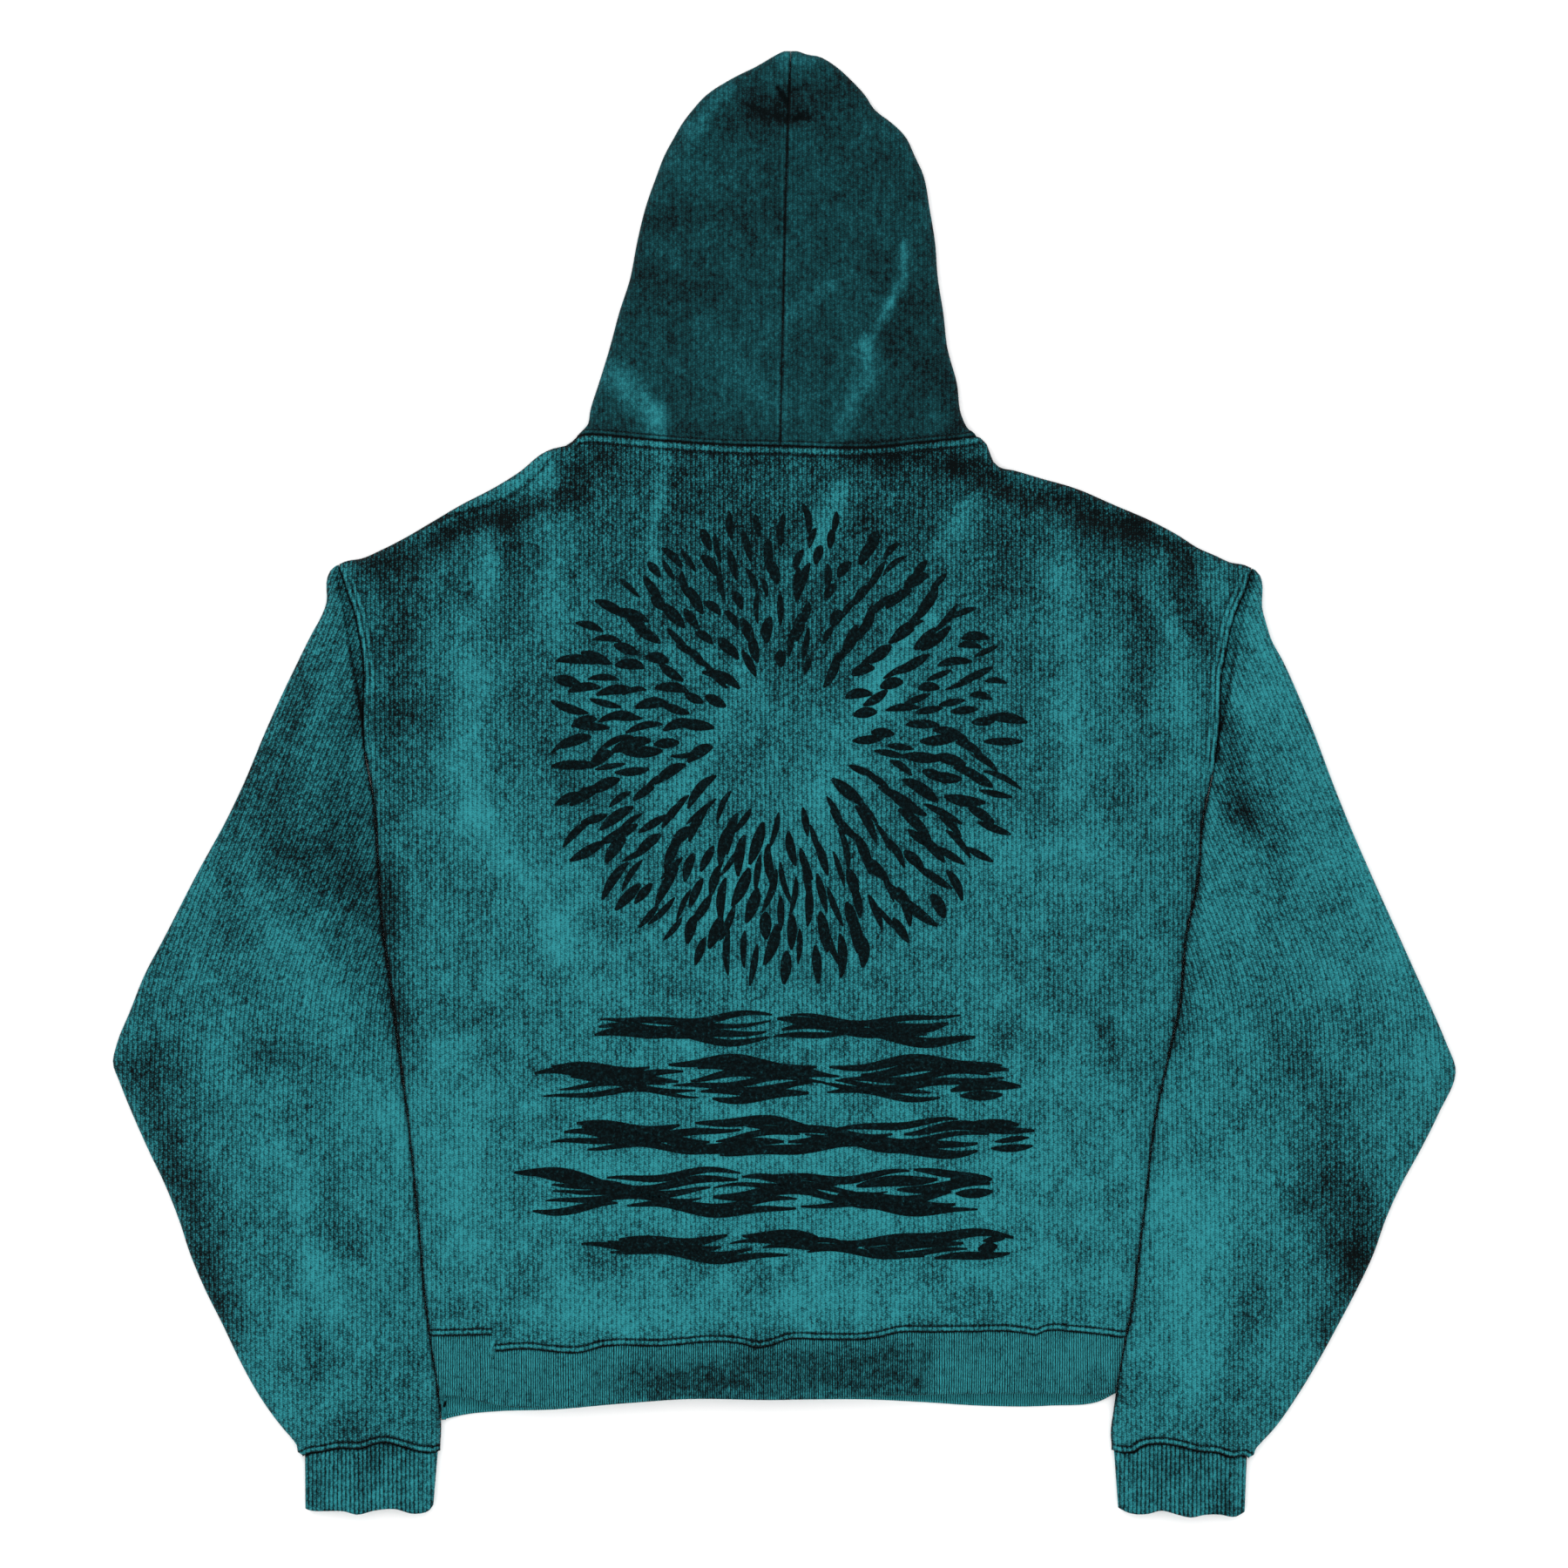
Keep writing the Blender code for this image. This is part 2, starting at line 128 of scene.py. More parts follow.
# Where the sleeve puffs up beside its armhole, and leaves a strip in shade next to the seam
PUFF_EDGE = {
    LEFT: [(-329.6, 156.2), (-322.6, 125.4), (-316.5, 88.6), (-313, 69), (-309.8, 49.3), (-308, 32)],
    RIGHT: [(344.8, 151.7), (339.8, 133.1), (333.8, 108.8), (329, 85.4), (326.4, 69.8), (322.8, 51.2),
            (319.6, 37.8)],
}
SLEEVE_OUTER = {
    LEFT: [
        SHOULDER_TIP[LEFT], (-330, 159.6), (-334.3, 154.7), (-335.7, 149.8), (-336, 132.7), (-339.8, 122.9),
        (-346.5, 110.7), (-357, 89.6), (-369.3, 64), (-380.8, 38.4), (-396.8, 0), (-409, -25.6),
        (-430, -64), (-456.3, -115.2), (-469.8, -140.8), (-480, -166.4), (-490.2, -192), (-492.8, -204.8),
        (-488.3, -217.6), (-478, -243.2), (-466.6, -268.8), (-454.4, -294.4), (-444.2, -320), (-435.8, -345.6),
        (-425, -371.2), (-412.2, -396.8), (-400, -422.4), (-385.9, -448), (-367.4, -473.6), (-360.5, -481.5),
        (-357.5, -486), (-357, -490.5), (-353.4, -493),
    ],
    RIGHT: [
        SHOULDER_TIP[RIGHT], (346.7, 156.5), (350.3, 151.7), (351.2, 146.7), (351.2, 128.3), (353.9, 118.5),
        (357.7, 106.2), (365.6, 91.6), (377.9, 64.6), (387.6, 41.4), (403.2, 0), (413.4, -25.6), (430, -64),
        (453.1, -115.2), (464.6, -140.8), (476.2, -166.4), (487, -192), (493, -208), (480, -243.2),
        (467.2, -268.8), (453.1, -294.4), (441.6, -320), (432.6, -345.6), (420.5, -371.2), (407, -396.8),
        (393, -422.4), (377.6, -448), (358.4, -475), (349, -485), (346, -488.6), (345, -492.5), (341.5, -494.5),
    ],
}
SLEEVE_INNER = {
    LEFT: [
        UNDERARM[LEFT], (-301.4, -11.5), (-298.2, -53.8), (-295, -102.4), (-289.3, -144), (-281.6, -202.9),
        (-276.5, -242.6), (-268.8, -318.1), (-261.8, -393), (-259, -412), (-256.6, -426.9), (-253.4, -449.9),
        (-251.7, -475), (-252.3, -485.1),
    ],
    RIGHT: [
        UNDERARM[RIGHT], (307.2, -28.8), (304.6, -65.9), (295, -114.6), (290.6, -163.8), (282.9, -197.8),
        (272, -249.6), (265.6, -305.3), (259.2, -356.5), (254.6, -391.4), (250.8, -407.4), (247.2, -426.9),
        (244.2, -444), (241.6, -462), (239.8, -478), (240.4, -484.5),
    ],
}
CUFF_SEAM = {
    LEFT: [(-353.4, -493), (-348, -488.4), (-340.5, -485.4), (-325.8, -482.5), (-311.7, -482.6), (-293.1, -478),
           (-279, -481.3), (-268.8, -484.5), (-258, -485.8), (-252.3, -485.1)],
    RIGHT: [(341.5, -494.5), (338, -491), (329.8, -489.5), (317.4, -485.8), (304, -484.5), (289.3, -480.8),
            (277.1, -479), (262, -481.3), (256, -485.2), (247.7, -485.8), (240.4, -484.5)],
}
CUFF_END = {
    LEFT: [(-351.4, -531.8), (-347, -533.2), (-337.3, -533.4), (-322.6, -533.4), (-313.3, -535.7),
           (-300.5, -532.7), (-285.8, -531.6), (-271, -535.3), (-260, -532.7), (-257.4, -529)],
    RIGHT: [(338.2, -534), (331, -537.6), (320, -535.9), (309, -535.9), (298, -537.8), (289.3, -535.9),
            (275.8, -532.9), (267.3, -535.3), (252.7, -534.7), (245.3, -531.1)],
}
HEM_SEAM = [
    (-259.6, -400.6), (-250, -400.2), (-232, -399.6), (-214.8, -399.2), (-213.6, -399.3), (-213.5, -399.8),
    (-213.3, -410.3), (-213.2, -410.8), (-212, -410.9), (-199.5, -409.8), (-183.8, -409.6), (-172, -411), (-145, -411), (-138.9, -409),
    (-90, -406.8), (-36.5, -404.5), (-28, -406), (-21.3, -408), (-13, -407.2), (-6.2, -405.3), (0, -402.9),
    (30, -402.2), (63.3, -401.4), (72, -399.8), (81.4, -397.4), (110, -396.8), (138.8, -396.5), (163, -396.3),
    (177, -398), (184.1, -399.3), (190, -396.8), (214.3, -397.2), (247.6, -401.4), (252.4, -402),
]
HEM_STEP_X = -0.2134
HEM_STEP_HEIGHT = 0.0115
STEP_LINES = (-1.2, -0.55, -0.15, 0.15, 0.55, 1.2)
UPPER_HEM = [
    (-254.4, -448.6), (-236.8, -449.9), (-217.6, -454.4), (-192, -457), (-166.4, -456.6), (-127, -454.4),
    (-73, -450.6), (-6.4, -451.2), (64, -448.6), (102.4, -447.4), (144.6, -446.7), (192, -446.7),
    (235.5, -447.4), (243.6, -446.1),
]
LOWER_HEM = [
    (-252.6, -466.9), (-233, -462.7), (-213, -460.8), (-169.6, -459.4), (-127, -455.7), (-72.6, -451.5),
    (-6.4, -452.2), (66.3, -452.2), (102.4, -454), (144.7, -456.6), (193.3, -456.6), (235.5, -451.5),
    (240.6, -448.6), (243, -447.4),
]
# Under the garment, where it isn't seen from above
NECKLINE_CENTRE_Y = 0.165
NECKLINE_POWER = 2.5
FACE_OPENING = [(4, 174), (30, 212), (56, 270), (69, 340), (67, 410), (50, 465), (26, 499), (4, 512)]
POCKET_TOP_Y, POCKET_SIDE_Y, POCKET_BASE_Y = -0.170, -0.290, -0.4045
POCKET_TOP_HALF, POCKET_HALF = 0.110, 0.170
POCKET_CLOTH = 0.0025

# ---------------------------------------------------------------------------------------------------------
# How the garment lies
# ---------------------------------------------------------------------------------------------------------

RIM_HEIGHT = 0.004        # the outermost line of a folded edge, over the ground
FOLD_RADIUS = 0.006       # how tightly the upper layer turns over at that edge
CROWN_RISE = 0.024        # how much higher the cloth lies far away from every edge
CROWN_REACH = 0.070       # how far in from an edge the cloth keeps on rising
OPENING_REACH = 0.090     # how far in from the hem or a cuff the cloth lies lower
SEAM_GAP = 0.0004         # between two pieces that are sewn together
CENTRE_GAP = 0.0001       # between the halves of the hood, which are drawn together
FRONT_TOP = 0.0029        # the upper side of the front, which lies on the ground
HEM_END_Y, CUFF_END_Y = -0.450, -0.535

# Soft folds: start and end in millimetres, half width and height in millimetres
SOFT_FOLDS = [
    ((-262, 176), (-140, 238), 11, -2.6), ((-250, 150), (-170, 196), 9, 1.4),
    ((62, 238), (160, 226), 9, -2.6), ((160, 226), (300, 176), 10, -2.8), ((150, 205), (255, 172), 8, 1.4),
    ((-300, 150), (-288, 30), 9, -1.6), ((-276, 140), (-262, 20), 10, 1.2), ((300, 140), (300, 10), 9, 1.2),
    ((38, 235), (10, 150), 7, 1.3), ((140, 225), (105, 140), 8, 1.4), ((-97, 245), (-95, 160), 7, 1.2),
    ((-228, 120), (-222, -30), 11, 1.4), ((-222, -30), (-150, -130), 12, 1.2), ((110, 130), (20, -20), 13, 1.2),
    ((-20, 90), (-90, -40), 11, 1.0), ((-40, -40), (-70, -120), 11, 1.0), ((210, 190), (216, 0), 10, 1.0),
    ((-95, -170), (50, -310), 11, 1.0), ((-30, -404), (-18, -360), 7, -1.8), ((-70, -398), (-40, -350), 9, 1.2),
    ((70, -396), (40, -350), 9, 1.0), ((184, -398), (178, -370), 6, -1.0),
    ((-470, -196), (-350, -206), 10, -2.2), ((-462, -225), (-360, -240), 10, 1.6),
    ((-330, -300), (-318, -352), 9, -1.6), ((-365, -262), (-348, -310), 9, 1.4),
    ((-341, -392), (-336, -432), 8, -1.6), ((-372, -388), (-350, -440), 8, 1.4), ((-300, -330), (-288, -420), 8, 1.2),
    ((-318, -452), (-312, -474), 6, -1.6), ((-286, -452), (-284, -472), 6, 1.4), ((-340, -455), (-336, -478), 6, 1.2),
    ((398, -280), (428, -352), 12, -2.4), ((360, -186), (404, -246), 13, -1.8), ((470, -214), (380, -226), 9, 1.6),
    ((346, -372), (328, -446), 9, -1.8), ((318, -392), (306, -462), 8, 1.4), ((372, -370), (352, -440), 9, 1.2),
    ((312, -452), (310, -474), 6, -1.4), ((286, -452), (284, -470), 6, 1.4), ((330, -456), (326, -478), 5, 1.2),
    ((326, 60), (348, -40), 8, -2.0), ((-312, 20), (-330, -60), 9, -1.8), ((-345, 60), (-372, -20), 9, 1.2),
    ((-110, 305), (-92, 262), 8, 1.2), ((86, 384), (50, 262), 7, 1.4), ((-60, 480), (-92, 440), 10, 1.2),
    ((-92, 414), (-38, 402), 9, -1.2), ((66, 332), (112, 292), 10, -1.2), ((20, 470), (60, 440), 9, 1.0),
]
# Sharp creases of the pinched crown of the hood: start and end in millimetres, half width and height in millimetres,
# and the painted shade in the crease, which is light on the raised ones
CROWN_CREASES = [
    ((-5, 510), (2.5, 499), 1.7, -3.0, -0.40), ((3, 487.5), (18, 488), 1.7, -3.0, -0.42),
    ((-24, 494), (-2, 487), 4.0, -1.8, -0.12), ((5, 508), (16, 511), 2.2, -1.8, -0.14),
    ((-4, 504), (-14, 520), 4.0, 1.2, 0.04), ((8, 498), (26, 500), 4.5, 1.6, 0.03),
    ((4, 480), (20, 478), 4.0, 1.2, 0.0), ((-12, 492), (-2, 480), 3.0, 1.2, 0.02),
]

# Dye, with some painted shade: start and end in millimetres, half width in millimetres, how much lighter or darker, and
# how crisp
DYE_AND_SHADE_STREAKS = [
    # shoulders: the dark bands lie in the valleys of the shoulder folds and are painted shade over the dye
    ((-246, 182), (-206, 196), 8, -0.34), ((-200, 200), (-152, 211), 9, -0.34), ((-152, 228), (-132, 235), 9, -0.22),
    ((-300, 160), (-252, 180), 12, -0.22), ((-176, 237), (-173, 214), 9, 0.24, 3), ((-184, 225), (-240, 207), 6, 0.18, 3),
    ((-216, 187), (-218, 141), 9, 0.20, 3), ((-197, 186), (-196, 130), 7, -0.14, 3), ((55, 241), (122, 234), 11, -0.30),
    ((130, 226), (256, 188), 10, -0.32), ((256, 190), (274, 178), 9, -0.30), ((250, 170), (270, 120), 16, -0.12),
    # left half of the back
    ((-284, 156), (-282, 60), 14, -0.24), ((-290, 60), (-286, -30), 12, -0.12), ((-228, 112), (-228, -20), 13, 0.22), ((-226, -20), (-160, -110), 15, 0.20),
    ((-160, -110), (-140, -145), 20, 0.13), ((-170, 200), (-166, 128), 10, 0.18, 3), ((-96, 240), (-94, 160), 8, 0.13),
    ((-165, 105), (-115, 40), 9, 0.10), ((-190, 60), (-150, 0), 22, -0.08), ((-265, 60), (-262, 0), 10, -0.10),
    # The first two strokes on the next line lie along the left sleeve's inner edge and are its painted shadow on the
    # body.
    ((-290, -60), (-284, -185), 9, -0.20), ((-286, -165), (-272, -205), 12, -0.16), ((-262, -262), (-234, -280), 13, -0.10), ((-240, -200), (-238, -350), 16, 0.13), ((-200, -190), (-180, -240), 20, -0.05),
    # middle and right half of the back
    ((-60, 215), (10, 110), 46, -0.12), ((60, 205), (180, 150), 28, -0.10), ((40, 216), (20, 168), 8, 0.38),
    ((14, 162), (-74, 0), 10, 0.16), ((-74, 0), (-96, -45), 14, 0.10), ((135, 206), (114, 170), 9, 0.28),
    ((110, 130), (62, 62), 12, 0.18), ((74, 80), (24, -16), 16, 0.20), ((-18, -50), (-48, -92), 14, 0.24),
    ((200, 190), (214, 0), 14, 0.15), ((150, -46), (232, -52), 20, 0.12), ((100, 0), (60, -60), 26, -0.08),
    ((20, -100), (22, -120), 12, -0.10), ((80, -176), (72, -194), 13, -0.14), ((196, -138), (202, -166), 8, -0.16),
    # The last stroke on the next line lies along the right sleeve's inner edge and is its painted shadow on the body.
    ((234, -178), (242, -204), 9, -0.24), ((104, -226), (108, -252), 10, -0.10), ((300, -20), (288, -190), 6, -0.14),
    ((290, 174), (306, 98), 10, -0.26, 3), ((262, 140), (260, 58), 9, -0.18, 3), ((264, 150), (282, 112), 6, 0.16, 3),
    ((282, 112), (290, 72), 7, 0.14, 3), ((290, 72), (302, 6), 7, 0.12), ((320, 150), (326, 126), 8, 0.14),
    # above the hem
    ((-95, -170), (44, -304), 12, 0.10), ((-250, -300), (250, -296), 60, 0.08), ((-172, -386), (74, -380), 17, 0.17),
    ((20, -352), (60, -330), 10, 0.08), ((-60, -330), (-20, -345), 12, -0.07), ((130, -350), (230, -376), 14, 0.06),
    ((-170, -330), (-130, -350), 14, -0.07), ((-10, -366), (14, -350), 8, -0.10),
    # rib of the hem
    ((-104, -438), (94, -438), 14, -0.34), ((14, -416), (110, -420), 9, -0.13), ((-60, -424), (70, -418), 12, -0.16), ((120, -430), (170, -430), 14, 0.06),
    ((-240, -430), (-200, -430), 16, 0.08), ((200, -420), (236, -424), 12, 0.10),
    # hood
    ((-24, 494), (42, 512), 15, -0.10), ((-10, 500), (20, 488), 12, -0.06), ((-40, 510), (-68, 478), 7, 0.18),
    ((-90, 458), (-62, 446), 12, 0.06), ((4, 534), (20, 531), 6, 0.16), ((-98, 420), (-8, 414), 12, -0.09),
    ((-108, 376), (-70, 354), 18, -0.09), ((-30, 302), (12, 268), 16, 0.09), ((72, 368), (116, 322), 18, -0.05),
    ((80, 330), (118, 288), 16, -0.08), ((86, 392), (77, 352), 4.5, 0.30, 3), ((77, 352), (62, 318), 4.5, 0.22, 3),
    ((62, 318), (46, 256), 6, 0.18), ((2, 340), (34, 366), 7, 0.14), ((-126, 302), (-98, 268), 11, 0.26, 3),
    ((-92, 269), (-90, 210), 6, 0.18, 3), ((-90, 210), (-97, 171), 5, 0.16, 3), ((100, 250), (134, 262), 8, -0.14),
    ((60, 470), (92, 440), 12, -0.04), ((-84, 398), (-76, 380), 6, 0.12), ((14, 450), (10, 410), 8, 0.06),
    ((-60, 340), (-30, 300), 16, 0.06), ((88, 346), (112, 318), 2.5, 0.12, 3),
    # left sleeve
    ((-312, 60), (-314, 36), 7, -0.14), ((-350, 80), (-364, 6), 12, -0.16), ((-345, 40), (-338, 78), 10, 0.10), ((-392, -14), (-312, -82), 28, -0.20),
    ((-322, -10), (-318, -64), 20, -0.18), ((-372, -106), (-330, -160), 20, 0.12), ((-412, -70), (-392, -110), 12, -0.10), ((-452, -128), (-438, -160), 13, -0.12), ((-440, -216), (-430, -252), 11, -0.14), ((-388, -200), (-348, -202), 13, -0.14),
    ((-474, -205), (-404, -404), 17, -0.32), ((-478, -170), (-448, -210), 18, -0.13), ((-306, -228), (-280, -262), 17, 0.17),
    ((-372, -268), (-350, -302), 12, 0.19), ((-332, -298), (-322, -342), 13, -0.20), ((-342, -350), (-330, -384), 12, 0.19),
    ((-402, -396), (-366, -462), 11, 0.17), ((-346, -400), (-340, -428), 9, -0.14), ((-316, -470), (-300, -492), 16, -0.14),
    ((-356, 60), (-398, -16), 7, -0.06), ((-448, -96), (-470, -150), 8, -0.06),
    # right sleeve
    ((350, 130), (362, 60), 12, 0.10), ((326, 47), (331, -18), 11, -0.26, 3), ((331, -18), (346, -34), 10, -0.14), ((346, -8), (362, -36), 10, -0.16), ((328, -152), (356, -136), 13, -0.13), ((376, -308), (398, -336), 14, -0.16), ((344, -30), (362, -66), 14, -0.13),
    ((420, -50), (456, -140), 24, 0.10), ((366, -190), (402, -242), 23, -0.20), ((402, -286), (428, -344), 22, -0.34),
    ((420, -344), (400, -402), 13, -0.30), ((292, -300), (302, -440), 24, 0.14), ((346, -366), (328, -444), 11, -0.17),
    ((470, -190), (474, -230), 9, 0.10), ((330, -140), (310, -200), 16, 0.05), ((350, -300), (366, -330), 12, 0.06),
    # cuffs
    ((-346, -500), (-340, -530), 8, -0.12), ((-286, -510), (-262, -514), 12, 0.04), ((290, -505), (310, -522), 14, -0.08),
    ((330, -500), (322, -530), 6, -0.10),
]

# ---------------------------------------------------------------------------------------------------------
# Seams, folds and knit
# ---------------------------------------------------------------------------------------------------------

# Distances in millimetres at which the cloth gets a grid line of its own
SEAM_LINES = (0, 0.25, 0.7, 1.2, 1.8, 2.4, 3.0, 3.6, 4.2, 4.8, 5.4, 6.1, 6.8, 7.6, 8.6, 10, 12, 14.5)
DOUBLE_ROW_LINES = (0, 0.4, 0.9, 1.5, 2.2, 2.9, 3.4, 3.8, 4.2, 4.6, 5.1, 5.8, 7, 9, 12)
FOLD_LINES = (0, 0.2, 0.6, 1.2, 2, 3, 4.2, 5.6, 7.5, 10, 13)
UNDER_LINES = (0, 0.3, 0.9, 1.8, 3, 5, 9)
CENTRE_LINES = (0, 0.4, 0.9, 1.5, 2.2, 3, 4, 5.5, 8)
TURN_IN = 0.0003
TURN_DOWN = 0.0011

# Seam profiles: distance from the seam and height in millimetres, then how much darker or lighter it is: painted shade
# in the grooves and painted light on the ridges, with the dark of the stitching
ARMHOLE_PROFILE = [
    (0, -1.1, -0.50), (0.7, -0.3, -0.10), (1.9, 0.8, 0.30), (3.2, 0.3, 0.14), (3.9, -0.4, -0.26),
    (4.7, 0.2, 0.10), (6.0, 0.5, 0.24), (7.2, 0.1, 0.06), (8.0, -0.3, -0.18), (9.2, 0, 0), (14, 0, 0),
]
NECK_PROFILE = [
    (0, -1.4, -0.60), (0.5, -0.9, -0.42), (0.9, -0.1, -0.14), (1.6, 0.8, 0.16), (3.0, 1.1, 0.26),
    (4.6, 0.6, 0.20), (5.4, -0.1, -0.16), (6.1, -0.6, -0.52), (6.8, -0.1, -0.16), (8.2, 0, 0), (14, 0, 0),
]
HOOD_NECK_PROFILE = [
    (0, -1.3, -0.55), (0.4, -0.6, -0.28), (0.9, 0.2, -0.04), (2.0, 0.7, 0.10), (2.8, 0.3, 0.0),
    (3.5, -0.4, -0.30), (4.2, 0.1, -0.02), (7, 0, 0), (14, 0, 0),
]
CENTRE_PROFILE = [(0, -1.1, -0.30), (0.7, -0.2, -0.12), (1.8, 0.4, 0.06), (3.6, 0.2, 0.02), (6, 0, 0), (14, 0, 0)]
# Over the twin rows above the rib: distance from the rib's edge
RIB_JOIN_PROFILE = [
    (0, -1.3, -0.62), (0.6, -0.5, -0.28), (1.2, 0.4, 0.08), (2.2, 0.8, 0.17), (3.2, 0.4, 0.08), (3.7, -0.5, -0.32),
    (4.2, -0.9, -0.62), (4.8, -0.4, -0.26), (5.5, 0.3, 0.03), (7, 0.4, 0.05), (12, 0, 0),
]
RIB_EDGE_PROFILE = [(0, -1.3, -0.62), (0.6, -0.5, -0.20), (1.6, 0, 0), (14, 0, 0)]
RIB_JOIN = 4.2            # from the upper dark row to the rib's edge, in millimetres
RIB_END_ROUND = 0.0022
RIB_TUCK = 0.0012         # how far a rib reaches up under the cloth that it is sewn to
RIB_UNDER = 0.0028        # and how far below its outer face

# Knit, in metres
BODY_LEAN = 0.40          # the upper sleeve's wales lean with its outer edge
LEAN_FROM_Y = -0.150
HEM_RIB, CUFF_RIB = 0.0034, 0.0031
RIB_DEPTH = 0.0009

# Dye before the streaks: height in metres and lightness
BACK_WASH = [(-0.47, 0.46), (-0.404, 0.50), (-0.398, 0.58), (-0.33, 0.60), (-0.25, 0.60), (-0.15, 0.57), (-0.05, 0.54),
             (0.05, 0.50), (0.14, 0.44), (0.20, 0.37), (0.248, 0.34), (0.258, 0.28), (0.55, 0.28)]
SLEEVE_WASH = {
    LEFT: [(-0.54, 0.48), (-0.47, 0.54), (-0.38, 0.58), (-0.25, 0.58), (-0.13, 0.54), (0.0, 0.49), (0.16, 0.47)],
    RIGHT: [(-0.54, 0.49), (-0.47, 0.59), (-0.38, 0.60), (-0.25, 0.60), (-0.13, 0.60), (0.0, 0.63), (0.16, 0.62)],
}


def smooth_step(amount):
    """Rise from 0 to 1 with a level start and end."""
    amount = min(max(amount, 0.0), 1.0)
    return amount * amount * (3.0 - 2.0 * amount)


def mix(start, end, share):
    """The value that lies a share of the way from start to end."""
    return start + (end - start) * share


def read_table(table, place):
    """The values that a table of (place, value, ...) gives between its entries, or its nearest ones outside."""
    if place <= table[0][0]:
        return table[0][1:]
    for lower, upper in zip(table, table[1:]):
        if place <= upper[0]:
            share = (place - lower[0]) / (upper[0] - lower[0])
            return tuple(mix(a, b, share) for a, b in zip(lower[1:], upper[1:]))
    return table[-1][1:]


class Line:
    """A smooth line through points stated in millimetres, read in metres."""

    def __init__(self, stated, spacing=0.003):
        corners = [Vector(point) * MM for point in stated]
        spans = [(end - start).length for start, end in zip(corners, corners[1:])]
        slopes = [(end - start) / span for start, end, span in zip(corners, corners[1:], spans)]
        tangents = [slopes[0]]
        for index in range(1, len(slopes)):
            before, after = spans[index - 1], spans[index]
            tangents.append((slopes[index - 1] * after + slopes[index] * before) / (before + after))
        tangents.append(slopes[-1])
        self.points = [corners[0]]
        for index, span in enumerate(spans):
            steps = max(math.ceil(span / spacing), 2)
            for step in range(1, steps + 1):
                t = step / steps
                self.points.append(
                    corners[index] * (2 * t ** 3 - 3 * t ** 2 + 1)
                    + tangents[index] * span * (t ** 3 - 2 * t ** 2 + t)
                    + corners[index + 1] * (3 * t ** 2 - 2 * t ** 3)
                    + tangents[index + 1] * span * (t ** 3 - t ** 2)
                )
        self.lengths = [0.0]
        for start, end in zip(self.points, self.points[1:]):
            self.lengths.append(self.lengths[-1] + (end - start).length)
        self.length = self.lengths[-1]
        self.tree = KDTree(len(self.points))
        for index, point in enumerate(self.points):
            self.tree.insert((point.x, point.y, 0.0), index)
        self.tree.balance()

    def at(self, share):
        """The point at a share of the line's length."""
        target = share * self.length
        index = min(max(bisect_right(self.lengths, target), 1), len(self.points) - 1)
        before, after = self.lengths[index - 1], self.lengths[index]
        return self.points[index - 1].lerp(self.points[index], (target - before) / (after - before))

    def read(self, value, known=0):
        """The other coordinate where the line passes a value of x (known 0) or of y (known 1)."""
        wanted = 1 - known
        points = self.points
        if (points[0][known] - points[-1][known]) > 0:
            points = points[::-1]
        if value <= points[0][known]:
            return points[0][wanted]
        for start, end in zip(points, points[1:]):
            if value <= end[known] and end[known] > start[known]:
                share = (value - start[known]) / (end[known] - start[known])
                return mix(start[wanted], end[wanted], max(share, 0.0))
        return points[-1][wanted]

    def distance(self, x, y):
        """How far a point lies from the line."""
        nearest, index, _ = self.tree.find((x, y, 0.0))
        best = math.hypot(nearest[0] - x, nearest[1] - y)
        for start in (index - 1, index):
            if 0 <= start < len(self.points) - 1:
                (ax, ay), (bx, by) = self.points[start], self.points[start + 1]
                run, rise = bx - ax, by - ay
                share = ((x - ax) * run + (y - ay) * rise) / (run * run + rise * rise)
                if 0.0 < share < 1.0:
                    best = min(best, math.hypot(x - ax - share * run, y - ay - share * rise))
        return best


class Lattice:
    """A field of values over the garment, built up from soft strokes and read between its points."""

    def __init__(self, spacing, start_value=None):
        self.spacing = spacing
        self.low = (-0.51, -0.55)
        self.columns = round(1.02 / spacing) + 2
        self.rows = round(1.10 / spacing) + 2
        self.values = [[0.0] * self.columns for _ in range(self.rows)]
        if start_value:
            for row in range(self.rows):
                y = self.low[1] + row * spacing
                for column in range(self.columns):
                    self.values[row][column] = start_value(self.low[0] + column * spacing, y)

    def stroke(self, start, end, half_width, amount, crispness=2.0):
        """Add a stroke, given in millimetres. Its edge is softer the lower its crispness is."""
        ax, ay, bx, by = (value * MM for value in (*start, *end))
        reach = 2.4 * half_width * MM
        run, rise = bx - ax, by - ay
        square = max(run * run + rise * rise, 1e-12)
        first_row = max(int((min(ay, by) - reach - self.low[1]) / self.spacing), 0)
        last_row = min(int((max(ay, by) + reach - self.low[1]) / self.spacing) + 1, self.rows - 1)
        first_column = max(int((min(ax, bx) - reach - self.low[0]) / self.spacing), 0)
        last_column = min(int((max(ax, bx) + reach - self.low[0]) / self.spacing) + 1, self.columns - 1)
        for row in range(first_row, last_row + 1):
            y = self.low[1] + row * self.spacing
            for column in range(first_column, last_column + 1):
                x = self.low[0] + column * self.spacing
                share = min(max(((x - ax) * run + (y - ay) * rise) / square, 0.0), 1.0)
                away = math.hypot(x - ax - share * run, y - ay - share * rise) / (half_width * MM)
                self.values[row][column] += amount * math.exp(-away ** crispness)

    def at(self, x, y):
        """The value at a point."""
        column = min(max((x - self.low[0]) / self.spacing, 0.0), self.columns - 1.001)
        row = min(max((y - self.low[1]) / self.spacing, 0.0), self.rows - 1.001)
        left, bottom = int(column), int(row)
        along, up = column - left, row - bottom
        lower, upper = self.values[bottom], self.values[bottom + 1]
        return mix(mix(lower[left], lower[left + 1], along), mix(upper[left], upper[left + 1], along), up)


def shifted(stated, x=0.0, y=0.0):
    """Stated points moved in millimetres."""
    return [(point[0] + x, point[1] + y) for point in stated]


